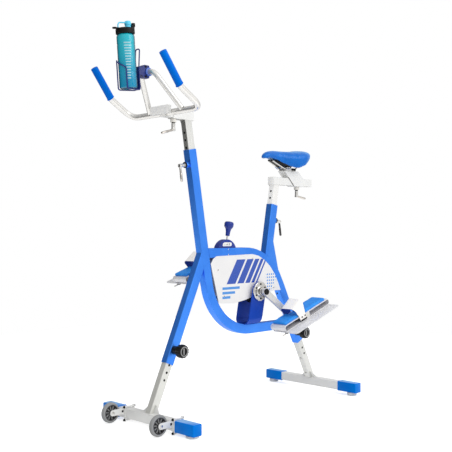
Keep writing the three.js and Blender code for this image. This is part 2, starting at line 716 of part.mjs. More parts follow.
// Pedal body: a flat loop with a bearing block across its middle and the fin's clip under its front.
function pedalFrame() {
  const outline = (inset) => {
    const long = pedal.length / 2 - inset;
    const high = pedal.high / 2 - inset;
    const radius = pedal.round - inset;
    const shape = new THREE.Shape();
    shape.absarc(long - radius, high - radius, radius, 0, Math.PI / 2);
    shape.absarc(-long + radius, high - radius, radius, Math.PI / 2, Math.PI);
    shape.absarc(-long + radius, -high + radius, radius, Math.PI, 1.5 * Math.PI);
    shape.absarc(long - radius, -high + radius, radius, 1.5 * Math.PI, 2 * Math.PI);
    shape.closePath();
    return shape;
  };
  const outer = across(outline(0), -pedal.halfWide, pedal.halfWide, 6);
  const inner = across(outline(pedal.wall), -pedal.halfWide - overrun, pedal.halfWide + overrun, 6);
  const high = pedal.high / 2 - pedal.wall / 2;
  const block = box(
    point(-pedal.halfWide, -bearing.halfLong, -high),
    point(pedal.halfWide, bearing.halfLong, high),
  );
  const bore = rod(
    point(-pedal.halfWide - overrun, 0, 0),
    point(spindle.reach + bearing.gap, 0, 0),
    spindle.radius + bearing.gap,
    18,
  );
  const floor = -pedal.high / 2;
  const stem = rod(
    point(clip.x, -clip.s, floor + weldDepth),
    point(clip.x, -clip.s, floor - clip.high),
    clip.radius,
  );
  const lever = box(
    point(clip.x - clip.leverWide / 2, -clip.s - clip.lever, floor - clip.high),
    point(clip.x + clip.leverWide / 2, -clip.s, floor - clip.high + clip.leverThick),
  );
  return cut(joined(cut(outer, inner), block, stem, lever), bore);
}

// Foot strap: a band that arches over the pad, its front edge lower and further forward on top.
function footStrap() {
  const half = pedal.halfWide + seatGap + strap.thick;
  const foot = -strap.down;
  const edge = (inset, top, baseY, topY) => {
    const wide = half - inset;
    const height = top - inset;
    const radius = strap.shoulder - inset;
    const spots = [point(wide, baseY, foot)];
    const arc = (x, from) => {
      for (let step = 0; step <= strap.steps; step += 1) {
        const angle = from + (step / strap.steps) * (Math.PI / 2);
        spots.push(point(x + radius * Math.cos(angle), 0, height - radius + radius * Math.sin(angle)));
      }
    };
    arc(wide - radius, 0);
    arc(radius - wide, Math.PI / 2);
    spots.push(point(-wide, baseY, foot));
    return spots.map((spot) => spot.setY(baseY + (topY - baseY) * Math.max(spot.z / top, 0)));
  };
  const front = (inset) => edge(inset, strap.frontTop, -strap.baseFront, -strap.topFront);
  const rear = (inset) => edge(inset, strap.rearTop, -strap.baseRear, -strap.topRear);
  const [frontOut, frontIn, rearOut, rearIn] = [front(0), front(strap.thick), rear(0), rear(strap.thick)];
  return loft(frontOut.map((spot, index) => [spot, rearOut[index], rearIn[index], frontIn[index]]));
}

function pedalFin() {
  const top = -pedal.high / 2 - seatGap;
  const ring = (height) =>
    planRing(at(-fin.inner, -fin.front), at(fin.outer, fin.rear), fin.corner, 0, height);
  const plate = loft([ring(top - fin.thick), ring(top)]);
  const hole = rod(
    point(clip.x, -clip.s, top + overrun),
    point(clip.x, -clip.s, top - fin.thick - overrun),
    clip.radius + seatGap,
  );
  return cut(plate, hole);
}

// Side panel in the left-hand form.
function sidePanel() {
  const { frontY, rearY, bottomZ, topZ } = panel;
  const shape = new THREE.Shape(panelShares.map(([along, up]) =>
    at(frontY + along * (rearY - frontY), bottomZ + up * (topZ - bottomZ)),
  ));
  const hole = new THREE.Path().absarc(crank.y, crank.z, panel.axleHole, 0, 2 * Math.PI);
  shape.holes.push(hole);
  const inner = tube.wide / 2 + seatGap;
  return across(shape, inner, inner + panel.thick, 12);
}

function resistanceDome() {
  const radius = (dome.halfChord ** 2 + dome.high ** 2) / (2 * dome.high);
  const reach = Math.asin(dome.halfChord / radius);
  const base = topTube.z + tube.deep / 2 + seatGap;
  const shape = new THREE.Shape();
  shape.absarc(dome.midY, base + dome.high - radius, radius, Math.PI / 2 - reach, Math.PI / 2 + reach);
  shape.closePath();
  const body = across(shape, -dome.halfWide, dome.halfWide, dome.arcSteps);
  const opening = box(
    point(-slot.halfWide, lever.y - slot.halfLong, base + slot.floor),
    point(slot.halfWide, lever.y + slot.halfLong, base + dome.high + overrun),
  );
  return cut(body, opening);
}

// Resistance lever, from its pivot up along +z.
function resistanceLever() {
  const hub = rod(point(-lever.hubHalf, 0, 0), point(lever.hubHalf, 0, 0), lever.hubRadius);
  const stem = rod(point(0, 0, 0), point(0, 0, lever.knobFoot + overrun), lever.rodRadius, 10);
  const { footRadius, neckRadius, neck, topRadius, flare, round } = leverKnob;
  const head = turned([
    [0, lever.knobFoot],
    [footRadius, lever.knobFoot],
    [neckRadius, lever.knobFoot + neck],
    [topRadius, lever.knobFoot + flare],
    [topRadius, lever.knobTop - round],
    [topRadius - round, lever.knobTop],
    [0, lever.knobTop],
  ], 16).rotateY(-Math.PI / 2);
  return joined(hub, stem, head);
}

// A rounded square section that runs along x at a place in the side view.
function squareLength(size, radius, from, to, spot) {
  const settings = { depth: to - from, bevelEnabled: false, curveSegments: 2 };
  return new THREE.ExtrudeGeometry(roundedSquare(size, radius), settings)
    .rotateY(Math.PI / 2)
    .translate(from, spot.x, spot.y);
}

// Floor bar along x, between its end caps.
function floorBar(spot) {
  const end = bar.halfLength - cap.end - seatGap;
  const inside = bar.size - 2 * bar.wall;
  return cut(
    squareLength(bar.size, bar.cornerRadius, -end, end, spot),
    squareLength(inside, bar.cornerRadius - bar.wall, -end - overrun, end + overrun, spot),
  );
}

// The pair of small plates between a post and the bar under it.
function barGussets(spot, up) {
  const inner = post.wide / 2 + seatGap;
  const plate = (side) => {
    const shape = new THREE.Shape();
    shape.moveTo(side * inner, bar.size / 2 - weldDepth);
    shape.lineTo(side * (inner + gusset.wide), bar.size / 2 - weldDepth);
    shape.lineTo(side * (inner + gusset.wide), bar.size / 2 + weldDepth);
    shape.lineTo(side * (inner + gusset.topWide), bar.size / 2 + gusset.high);
    shape.lineTo(side * inner, bar.size / 2 + gusset.high);
    shape.closePath();
    const lean = Math.atan2(up.x, up.y);
    return new THREE.ExtrudeGeometry(shape, { depth: gusset.thick, bevelEnabled: false })
      .translate(0, 0, -gusset.thick / 2)
      .rotateX(Math.PI / 2 - lean)
      .translate(0, spot.x, spot.y);
  };
  return [plate(1), plate(-1)];
}

const weldedBar = (spot, up) => joined(floorBar(spot), ...barGussets(spot, up));

// End cap over a floor bar, in the left-hand form.
function barCap(spot) {
  const inner = bar.halfLength - cap.length;
  const socket = bar.size + 2 * seatGap;
  return cut(
    squareLength(cap.size, cap.cornerRadius, inner, bar.halfLength, spot),
    squareLength(socket, bar.cornerRadius, inner - overrun, bar.halfLength - cap.end, spot),
  );
}

// Round foot under a cap, standing on the floor.
function barFoot(spot, size) {
  const top = spot.y - cap.size / 2 - seatGap;
  const lip = top * foot.lipShare;
  return turned([
    [0, 0],
    [size.radius * foot.rimShare, 0],
    [size.radius, lip],
    [size.radius, top],
    [0, top],
  ], 20).rotateY(-Math.PI / 2).translate(bar.halfLength - size.inset, spot.x, 0);
}

// Post of a leg, from its bar up into its sleeve.
function legPost(spot, up, sleeveEnd, leg) {
  const path = [spot, move(sleeveEnd, up, leg.insert)];
  const block = box(
    point(-bar.size, spot.x - 2 * bar.size, spot.y - bar.size),
    point(bar.size, spot.x + 2 * bar.size, spot.y + bar.size / 2 + seatGap),
  );
  const sideHoles = leg.sideHolesZ.map((z) => {
    const middle = atHeight(spot, up, z);
    return rod(inSide(middle, -post.wide), inSide(middle, post.wide), post.holeRadius, 10);
  });
  const forward = at(-up.y, up.x);
  const frontHoles = leg.frontHolesZ.map((z) => {
    const middle = atHeight(spot, up, z);
    return rod(inSide(middle), inSide(move(middle, forward, post.deep)), post.holeRadius, 10);
  });
  return cut(openTube(path, post), block, ...sideHoles, ...frontHoles);
}

// Wheel bracket: a plate beside the wheel, clamped round the front bar by two bolts.
function wheelBracket() {
  const inner = wheelArm.inner;
  const outer = inner + clampPlate.wide;
  const barHalf = bar.size / 2 + seatGap;
  const frontFace = frontBar.y - barHalf;
  const rearFace = frontBar.y + barHalf;
  const plate = (fromY, toY) =>
    box(
      point(inner, fromY, frontBar.z - clampPlate.halfHigh),
      point(outer, toY, frontBar.z + clampPlate.halfHigh),
    );
  const boltX = inner + clampPlate.wide / 2;
  const bolt = (z) => rod(
    point(boltX, frontFace - clampPlate.thick + weldDepth, z),
    point(boltX, rearFace + clampPlate.thick - weldDepth, z),
    clampPlate.boltRadius,
    10,
  );
  const shape = new THREE.Shape();
  const top = frontBar.z + clampPlate.halfHigh;
  const bottom = frontBar.z - clampPlate.halfHigh;
  shape.moveTo(frontFace, bottom);
  shape.lineTo(frontFace, top);
  shape.absarc(wheel.y, wheel.z, wheelArm.endRadius, Math.PI / 2, 1.5 * Math.PI);
  shape.closePath();
  const side = across(shape, inner, inner + wheelArm.thick);
  const pin = rod(
    point(inner + weldDepth, wheel.y, wheel.z),
    point(-wheel.halfWide - wheelAxle.gap - weldDepth, wheel.y, wheel.z),
    wheelAxle.radius,
    14,
  );
  const head = rod(
    point(-wheel.halfWide - wheelAxle.gap, wheel.y, wheel.z),
    point(-wheel.halfWide - wheelAxle.gap - wheelAxle.headThick, wheel.y, wheel.z),
    wheelAxle.head,
    14,
  );
  return joined(
    side,
    plate(frontFace - clampPlate.thick, frontFace),
    plate(rearFace, rearFace + clampPlate.thick),
    bolt(frontBar.z + clampPlate.boltHigh),
    bolt(frontBar.z - clampPlate.boltHigh),
    pin,
    head,
  );
}

// Tyre and spoked core of a transport wheel, about the x axis.
function wheelTyre() {
  const inner = wheel.radius - wheel.tyre;
  const edge = wheel.halfWide * wheel.edgeShare;
  return turned([
    [inner, -wheel.halfWide],
    [wheel.radius - edge, -wheel.halfWide],
    [wheel.radius, -wheel.halfWide + edge],
    [wheel.radius, wheel.halfWide - edge],
    [wheel.radius - edge, wheel.halfWide],
    [inner, wheel.halfWide],
    [inner, -wheel.halfWide],
  ], 28);
}

function wheelCore() {
  const arc = (radius, from, to, steps) => Array.from({ length: steps + 1 }, (unused, step) => {
    const angle = from + ((to - from) * step) / steps;
    return at(radius * Math.cos(angle), radius * Math.sin(angle));
  });
  const circle = (radius, steps) => arc(radius, 0, 2 * Math.PI, steps).slice(0, -1);
  const outer = wheel.radius - wheel.tyre - seatGap;
  const shape = new THREE.Shape(circle(outer, 28));
  shape.holes.push(new THREE.Path(circle(wheelAxle.radius + wheelAxle.gap, 14)));
  const turn = (2 * Math.PI) / wheel.spokes;
  const spoke = wheel.spokeShare * turn;
  for (let index = 0; index < wheel.spokes; index += 1) {
    const from = index * turn + spoke / 2;
    const to = (index + 1) * turn - spoke / 2;
    shape.holes.push(new THREE.Path([
      ...arc(outer - wheel.rim, from, to, 5),
      ...arc(wheel.hubRadius, to, from, 3),
    ]));
  }
  const half = wheel.halfWide - wheel.coreInset;
  return across(shape, -half, half);
}

// Mast post and the beam on top of it, which takes the handlebar's slider.
function mastPostBody() {
  const foot = move(mastTop, mastUp, -mastPost.insert);
  const beamBottom = mastBeam.z - mastBeam.high / 2;
  const path = [foot, atHeight(mastTop, mastUp, beamBottom + mastBeam.high / 2)];
  const block = (inset, extra) => box(
    point(-mastBeam.wide / 2 + inset, mastBeam.frontY - extra, beamBottom + inset),
    point(mastBeam.wide / 2 - inset, mastBeam.rearY + extra, beamBottom + mastBeam.high - inset),
  );
  const holes = mastHolesZ.map((z) => {
    const middle = atHeight(mastTop, mastUp, z);
    const front = move(middle, mastForward, post.deep);
    return rod(inSide(middle), inSide(front), post.holeRadius, 10);
  });
  const stud = rod(
    point(0, beamClamp.y, beamBottom + weldDepth),
    point(0, beamClamp.y, beamBottom - boss.length),
    boss.radius,
  );
  const studBore = rod(
    point(0, beamClamp.y, mastBeam.z),
    point(0, beamClamp.y, beamBottom - boss.length - overrun),
    boss.bore,
    10,
  );
  return cut(
    joined(openTube(path, post), block(0, 0), stud),
    block(mastBeam.wall, overrun),
    studBore,
    ...holes,
  );
}

// Slider of the handlebar: a square tube in the beam with a plate across its front end.
function handlebarSlider() {
  const inset = mastBeam.wall + slider.gap;
  const half = { x: mastBeam.wide / 2 - inset, z: mastBeam.high / 2 - inset };
  const body = box(
    point(-half.x, slider.frontY, mastBeam.z - half.z),
    point(half.x, slider.rearY, mastBeam.z + half.z),
  );
  const hollow = box(
    point(-half.x + slider.wall, slider.hollowFrontY, mastBeam.z - half.z + slider.wall),
    point(half.x - slider.wall, slider.rearY + overrun, mastBeam.z + half.z - slider.wall),
  );
  const plate = box(
    point(-frontPlate.halfWide, frontPlate.frontY, mastBeam.z - frontPlate.below),
    point(frontPlate.halfWide, frontPlate.rearY, mastBeam.z + frontPlate.above),
  );
  return cut(joined(cut(body, hollow), plate), hornRod(horn.radius + seatGap));
}

const gripBottom = at(grip.bottomY, grip.bottomZ);
const gripTop = at(grip.topY, grip.topZ);
const gripUp = gripTop.clone().sub(gripBottom).normalize();

// Bent tube through the slider: out to both sides, then forward and up into the grips.
function hornRod(radius) {
  const inGrip = move(gripTop, gripUp, -grip.end);
  const wrist = inSide(gripBottom, horn.x);
  const left = [point(horn.x, horn.y, mastBeam.z), wrist, inSide(inGrip, horn.x)];
  const right = left.map((spot) => spot.clone().setX(-spot.x)).reverse();
  const bends = [grip.wristBend, horn.bend, horn.bend, grip.wristBend];
  return bentRod([...right, ...left], bends, radius, horn.bendSteps, 14);
}

function loopRod(radius) {
  const left = [point(loop.apexX, loop.apexY, loop.apexZ), point(loop.footX, horn.y, mastBeam.z)];
  const right = left.map((spot) => spot.clone().setX(-spot.x)).reverse();
  return bentRod([...right, ...left], [loop.bend, loop.bend], radius, loop.bendSteps, 12);
}

const loopBar = () => cut(loopRod(loop.radius), hornRod(horn.radius + seatGap));

// Grip over the end of the horn tube, from the middle of its bend to just past its end.
function handGrip() {
  const wrist = inSide(gripBottom, horn.x);
  const up = inSide(gripUp);
  const into = wrist.clone().sub(point(horn.x, horn.y, mastBeam.z)).normalize();
  const bend = new THREE.QuadraticBezierCurve3(
    wrist.clone().addScaledVector(into, -grip.wristBend),
    wrist,
    wrist.clone().addScaledVector(up, grip.wristBend),
  );
  const edgeAt = inSide(gripTop, horn.x).addScaledVector(up, grip.end - grip.edge);
  const spots = [...bend.getPoints(2 * horn.bendSteps).slice(horn.bendSteps), edgeAt];
  const circle = new THREE.Shape().absarc(0, 0, grip.radius, 0, 2 * Math.PI);
  const sleeve = new THREE.ExtrudeGeometry(circle, {
    steps: spots.length - 1,
    curveSegments: grip.segments / 2,
    extrudePath: new Stations(spots),
  });
  const rounded = rod(
    edgeAt.clone().addScaledVector(up, -weldDepth),
    edgeAt.clone().addScaledVector(up, grip.edge),
    grip.radius - grip.edge / 2,
    grip.segments,
    grip.radius - grip.edge,
  );
  return cut(joined(sleeve, rounded), hornRod(horn.radius + seatGap));
}

// Pieces of the bottle, from its foot up along +z.
function bottleBody() {
  const { radius, height, baseRound, shoulder } = bottle;
  return turned([
    [0, 0],
    [radius - baseRound, 0],
    [radius, baseRound],
    [radius, height - shoulder],
    [radius - shoulder, height],
    [0, height],
  ], 28).rotateY(-Math.PI / 2);
}

function bottleCollar() {
  const from = bottle.height + seatGap;
  const to = from + collar.height;
  const ring = turned([
    [0, from],
    [collar.radius, from],
    [collar.radius, to - collar.chamfer],
    [collar.radius - collar.chamfer, to],
    [0, to],
  ], 28).rotateY(-Math.PI / 2);
  const tipY = -ear.reach + ear.radius;
  const tip = rod(point(0, tipY, to - ear.thick), point(0, tipY, to), ear.radius);
  const bridge = box(
    point(-ear.radius, tipY, to - ear.thick),
    point(ear.radius, -collar.radius + collar.chamfer * 2, to - weldDepth),
  );
  const stem = box(
    point(-latch.halfWide, latch.inner, to - weldDepth),
    point(latch.halfWide, latch.outer, to + latch.high),
  );
  const lip = box(
    point(-latch.halfWide, latch.tipInner, to + latch.high - latch.tipHigh),
    point(latch.halfWide, latch.tipOuter, to + latch.high + latch.tipHigh),
  );
  return joined(ring, tip, bridge, stem, lip);
}

// Spout cap with the tether that loops forward to the collar.
function spoutCap() {
  const from = bottle.height + 2 * seatGap + collar.height;
  const to = from + spout.height;
  const head = turned([
    [0, from],
    [spout.radius, from],
    [spout.radius, to - spout.round],
    [spout.radius - spout.round, to],
    [0, to],
  ], 20).rotateY(-Math.PI / 2).translate(0, spout.y, 0);
  const wire = bentRod(
    [
      point(0, spout.y - spout.radius + spout.round, from + tether.rise),
      point(0, -tether.foot, from + tether.rise),
      point(0, -tether.foot, from),
    ],
    [tether.bend],
    tether.radius,
    tether.bendSteps,
    8,
  );
  return joined(head, wire);
}

const bottlePlace = new THREE.Matrix4()
  .makeRotationX(bottle.lean)
  .setPosition(point(0, bottle.y, bottle.z));

// Wire cage round the bottle: one wire that makes a sloping bar across the front, its two legs, two
// runs under the bottle and a loop behind it, with the plate and clamp that hold it on the loop bar.
function bottleCage() {
  const reach = bottle.radius + cage.gap + cage.wire;
  const rear = reach + cage.rearGap;
  const floor = -cage.gap - cage.wire;
  const clear = reach / Math.cos(cage.legTurn / 4);
  const middleTop = (cage.leftTop + cage.rightTop) / 2;
  const half = (side, top) => {
    const around = (share, height) => {
      const turn = share * cage.legTurn;
      return point(side * clear * Math.sin(turn), -clear * Math.cos(turn), height);
    };
    const climb = (share) => middleTop + share * (top - middleTop);
    const front = around(0, middleTop);
    const next = around(0.5, climb(0.5));
    const start = front.clone().addScaledVector(next.clone().sub(front), -cage.wire / reach);
    return bentRod(
      [
        start,
        next,
        around(1, top),
        around(1, floor),
        point(side * cage.loopHalf, rear, floor),
        point(side * cage.loopHalf, rear, cage.loopTop),
        point(-side * cage.wire, rear, cage.loopTop),
      ],
      [cage.barBend, cage.barBend, cage.floorBend, cage.floorBend, cage.loopBend],
      cage.wire,
      cage.bendSteps,
      6,
    );
  };
  const plate = box(
    point(-cage.loopHalf, rear - cage.plate / 2, floor),
    point(cage.loopHalf, rear + cage.plate / 2, (loop.apexZ - bottle.z) / Math.cos(bottle.lean)),
  );
  const frame = joined(half(1, cage.leftTop), half(-1, cage.rightTop), plate).applyMatrix4(bottlePlace);
  const plateY = bottle.y + rear - (loop.apexZ - bottle.z) * Math.tan(bottle.lean);
  const body = box(
    point(-cageClamp.halfWide, plateY, loop.apexZ - cageClamp.halfHigh),
    point(cageClamp.halfWide, loop.apexY + cageClamp.rearReach, loop.apexZ + cageClamp.halfHigh),
  );
  const grasp = loop.radius + seatGap;
  const mouth = box(
    point(-cageClamp.halfWide - overrun, loop.apexY, loop.apexZ - grasp),
    point(cageClamp.halfWide + overrun, loop.apexY + 2 * cageClamp.rearReach, loop.apexZ + grasp),
  );
  return cut(joined(frame, body), mouth, loopRod(grasp));
}

// Seat post and the beam on top of it, on which the saddle's carriage slides.
function seatPostBody() {
  const foot = move(seatTop, seatUp, -seatPost.insert);
  const beamBottom = saddleBeam.z - saddleBeam.high / 2;
  const path = [foot, atHeight(seatTop, seatUp, saddleBeam.z)];
  const block = (inset, extra) => box(
    point(-saddleBeam.wide / 2 + inset, saddleBeam.frontY - extra, beamBottom + inset),
    point(saddleBeam.wide / 2 - inset, saddleBeam.rearY + extra, beamBottom + saddleBeam.high - inset),
  );
  const holes = seatPost.holesZ.map((z) => {
    const middle = atHeight(seatTop, seatUp, z);
    const front = move(middle, seatRearward, -post.deep);
    return rod(inSide(middle), inSide(front), post.holeRadius, 10);
  });
  return cut(joined(openTube(path, post), block(0, 0)), block(saddleBeam.wall, overrun), ...holes);
}

function saddleCarriage() {
  const clear = carriage.gap + saddleBeam.wide / 2;
  const half = clear + carriage.wall;
  const beamTop = saddleBeam.z + saddleBeam.high / 2 + carriage.gap;
  const beamBottom = saddleBeam.z - saddleBeam.high / 2 - carriage.gap;
  const bottom = beamBottom - carriage.wall;
  const side = new THREE.Shape([
    at(carriage.topFrontY, carriage.topZ),
    at(carriage.bottomFrontY, bottom),
    at(carriage.rearY, bottom),
    at(carriage.rearY, beamTop),
    at(carriage.topRearY, carriage.topZ),
  ]);
  const body = across(side, -half, half);
  const passage = box(
    point(-clear, carriage.topFrontY - overrun, beamBottom),
    point(clear, carriage.rearY + overrun, beamTop),
  );
  const stud = rod(
    point(0, carriageClamp.y, bottom + weldDepth),
    point(0, carriageClamp.y, bottom - boss.length),
    boss.radius,
  );
  const studBore = rod(
    point(0, carriageClamp.y, saddleBeam.z),
    point(0, carriageClamp.y, bottom - boss.length - overrun),
    boss.bore,
    10,
  );
  return cut(joined(cut(body, passage), stud), studBore);
}

// The saddle's measures at a share of its length, eased between the stations of the table.
function saddleAt(along) {
  const after = Math.max(saddleShares.findIndex((station) => station.along >= along), 1);
  const [here, next] = [saddleShares[after - 1], saddleShares[after]];
  const local = (along - here.along) / (next.along - here.along);
  const ease = local * local * (3 - 2 * local);
  const blend = local + (ease - local) * saddle.easeShare;
  const eased = (key) => here[key] + (next[key] - here[key]) * blend;
  const height = (key) => saddle.footZ + eased(key) * (saddle.topZ - saddle.footZ);
  return {
    half: eased('half') * saddle.halfWide,
    crown: height('crown'),
    edge: height('edge'),
    skirt: height('skirt'),
    under: height('under'),
  };
}

const ringShares = Array.from({ length: saddle.rings + 1 }, (unused, ring) =>
  (1 - Math.cos((Math.PI * ring) / saddle.rings)) / 2,
);
const saddleY = (share) => saddle.noseY + share * (saddle.tailY - saddle.noseY);

// The saddle's padding: crowned on top, drawn in under its widest line and hollow underneath.
function saddleCushion() {
  const rings = ringShares.map((share) => {
    const { half, crown, edge, skirt, under } = saddleAt(share);
    const y = saddleY(share);
    const top = Array.from({ length: saddle.topPoints + 1 }, (unused, step) => {
      const angle = (Math.PI * step) / saddle.topPoints;
      return point(half * Math.cos(angle), y, edge + (crown - edge) * Math.sin(angle) ** saddle.crownPower);
    });
    const low = [
      { halfShare: 0.97, z: (edge + skirt) / 2 },
      { halfShare: 0.9, z: skirt },
      { halfShare: 0.78, z: skirt },
      { halfShare: 0.62, z: under },
      { halfShare: 0.3, z: under },
    ];
    const far = low.map(({ halfShare, z }) => point(-half * halfShare, y, z));
    const near = low.map(({ halfShare, z }) => point(half * halfShare, y, z)).reverse();
    return [...top, ...far, ...near];
  });
  return loft(rings);
}

// The shell under the padding, its two rails and the block that clamps them.
function saddleBase() {
  const rings = ringShares
    .filter((share) => share > saddleShell.frontShare && share < saddleShell.rearShare)
    .map((share) => {
      const { half, under } = saddleAt(share);
      const wide = half * saddleShell.widthShare;
      const top = under - seatGap;
      const low = top - saddleShell.thick;
      const y = saddleY(share);
      return [point(wide, y, low), point(wide, y, top), point(-wide, y, top), point(-wide, y, low)];
    });
  const base = carriage.topZ + seatGap;
  const block = box(
    point(-railClamp.halfWide, railClamp.frontY, base),
    point(railClamp.halfWide, railClamp.rearY, railClamp.topZ),
  );
  const rails = [1, -1].map((side) => bentRod(
    [
      point(side * rail.noseHalf, rail.noseY, rail.noseZ),
      point(side * rail.half, railClamp.frontY, rail.z),
      point(side * rail.half, railClamp.rearY, rail.z),
      point(side * rail.tailHalf, rail.tailY, rail.tailZ),
    ],
    [rail.bend, rail.bend],
    rail.radius,
    rail.bendSteps,
    8,
  ));
  return joined(loft(rings), block, ...rails);
}

// Clamp lever along +x from the face it is screwed into, with its arm pointing to -z.
function clampHandle(splay) {
  const { washerRadius, washer, hubRadius, hub, studRadius, armRadius, armLength } = clampLever;
  const from = boss.length + slideGap;
  const head = turned([
    [0, -tube.wall],
    [studRadius, -tube.wall],
    [studRadius, from],
    [washerRadius, from],
    [washerRadius, from + washer],
    [hubRadius, from + washer],
    [hubRadius, from + washer + hub],
    [0, from + washer + hub],
  ], 16);
  const start = point(from + washer + hub - armRadius, 0, 0);
  const end = start.clone().add(point(armLength * Math.sin(splay), 0, -armLength * Math.cos(splay)));
  return joined(head, rod(start, end, armRadius, 12));
}

// Round knob along +x from the middle of its sleeve.
function roundKnob() {
  const inner = tube.wide / 2 - tube.wall;
  const from = tube.wide / 2 + knobBoss.length + slideGap;
  const { radius, thick, neckRadius, neck, dish, dishRadius, edge, studRadius } = knob;
  return turned([
    [0, inner],
    [studRadius, inner],
    [studRadius, from],
    [neckRadius, from],
    [neckRadius, from + neck],
    [radius - edge, from + neck],
    [radius, from + neck + edge],
    [radius, from + neck + thick - edge],
    [radius - edge, from + neck + thick],
    [dishRadius, from + neck + thick],
    [dishRadius - edge, from + neck + thick - dish],
    [0, from + neck + thick - dish],
  ], 18);
}

// Bodies, from the frame outwards. Each group's origin is on its joint.
function placed(spot, ...children) {
  const holder = group(...children);
  holder.position.copy(spot);
  return holder;
}

function onFace(spot, outward, armway, ...children) {
  const holder = placed(spot, ...children);
  const up = inSide(armway).negate();
  const out = inSide(outward);
  holder.quaternion.setFromRotationMatrix(new THREE.Matrix4().makeBasis(out, up.clone().cross(out), up));
  return holder;
}

function frontLegGroup() {
  const wheels = Object.entries(sides).map(([side, sign]) => placed(
    point(sign * wheelX, 0, 0),
    named(`${side}_wheel_bracket`, wheelBracket(), finishes.steel()),
    placed(
      point(0, wheel.y, wheel.z),
      named(`${side}_wheel_tyre`, wheelTyre(), finishes.tyre()),
      named(`${side}_wheel_core`, wheelCore(), finishes.black()),
    ),
  ));
  const ends = Object.entries(sides).flatMap(([side, sign]) => [
    named(`${side}_front_cap`, handed(sign, barCap(frontBarMiddle)), finishes.capPlastic()),
    named(`${side}_front_foot`, handed(sign, barFoot(frontBarMiddle, frontFoot)), finishes.foot()),
  ]);
  return group(
    named('front_leg_post', legPost(frontBarMiddle, frontUp, frontSleeveEnd, frontLeg), finishes.steel()),
    named('front_bar', weldedBar(frontBarMiddle, frontUp), finishes.steel()),
    ...ends,
    ...wheels,
  );
}

function rearLegGroup() {
  const ends = Object.entries(sides).flatMap(([side, sign]) => [
    named(`${side}_rear_cap`, handed(sign, barCap(rearBarMiddle)), finishes.capPlastic()),
    named(`${side}_rear_foot`, handed(sign, barFoot(rearBarMiddle, rearFoot)), finishes.foot()),
  ]);
  return group(
    named('rear_leg_post', legPost(rearBarMiddle, rearUp, rearSleeveEnd, rearLeg), finishes.steel()),
    named('rear_bar', weldedBar(rearBarMiddle, rearUp), finishes.steel()),
    ...ends,
  );
}

function bottleGroup() {
  const holder = placed(
    point(0, bottle.y, bottle.z),
    named('bottle', bottleBody(), finishes.bottle()),
    named('bottle_collar', bottleCollar(), finishes.black()),
    named('spout_cap', spoutCap(), finishes.spout()),
  );
  holder.rotation.x = bottle.lean;
  return holder;
}

function handlebarGroup() {
  const grips = Object.entries(sides).map(([side, sign]) =>
    named(`${side}_grip`, handed(sign, handGrip()), finishes.grip()));
  return group(
    named('handlebar_slider', handlebarSlider(), finishes.steel()),
    named('horn_bar', hornRod(horn.radius), finishes.steel()),
    named('loop_bar', loopBar(), finishes.steel()),
    ...grips,
    named('bottle_cage', bottleCage(), finishes.navy()),
    bottleGroup(),
  );
}

function mastGroup() {
  const beamBottom = mastBeam.z - mastBeam.high / 2;
  return group(
    named('mast_post', mastPostBody(), finishes.steel()),
    onFace(
      point(0, beamClamp.y, beamBottom),
      at(0, -1),
      at(-1, 0),
      named('handlebar_clamp_lever', clampHandle(beamClamp.splay), finishes.chrome()),
    ),
    handlebarGroup(),
  );
}

function saddleGroup() {
  const bottom = saddleBeam.z - saddleBeam.high / 2 - carriage.gap - carriage.wall;
  return group(
    named('saddle_carriage', saddleCarriage(), finishes.steel()),
    named('saddle_base', saddleBase(), finishes.black()),
    named('saddle_cushion', saddleCushion(), finishes.saddle()),
    onFace(
      point(0, carriageClamp.y, bottom),
      at(0, -1),
      at(1, 0),
      named('saddle_clamp_lever', clampHandle(carriageClamp.splay), finishes.chrome()),
    ),
  );
}

const seatGroup = () => group(named('seat_post', seatPostBody(), finishes.steel()), saddleGroup());

function pedalGroup(side, sign) {
  const holder = placed(
    point(sign * pedal.x, 0, 0),
    named(`${side}_pedal`, handed(sign, pedalFrame()), finishes.steel()),
    named(`${side}_pedal_pad`, handed(sign, pedalPad()), finishes.foam()),
    named(`${side}_foot_strap`, handed(sign, footStrap()), finishes.strap()),
    named(`${side}_pedal_fin`, handed(sign, pedalFin()), finishes.fin()),
  );
  holder.rotation.x = pedal.pitch;
  return holder;
}

function crankGroup() {
  const arms = Object.entries(sides).map(([side, sign]) => {
    const turn = crank.turn + (sign > 0 ? 0 : Math.PI);
    const holder = group(named(`${side}_crank_arm`, handed(sign, crankArm()), finishes.chrome()));
    holder.rotation.x = turn;
    const spindleSpot = at(crank.armLength, 0).rotateAround(at(0, 0), turn);
    return group(holder, placed(inSide(spindleSpot), pedalGroup(side, sign)));
  });
  return placed(point(0, crank.y, crank.z), named('crank_axle', crankAxle(), finishes.black()), ...arms);
}

function leverGroup() {
  const base = topTube.z + tube.deep / 2 + seatGap;
  const holder = placed(
    point(0, lever.y, base + lever.lift),
    named('resistance_lever', resistanceLever(), finishes.navy()),
  );
  holder.rotation.x = lever.lean;
  return holder;
}

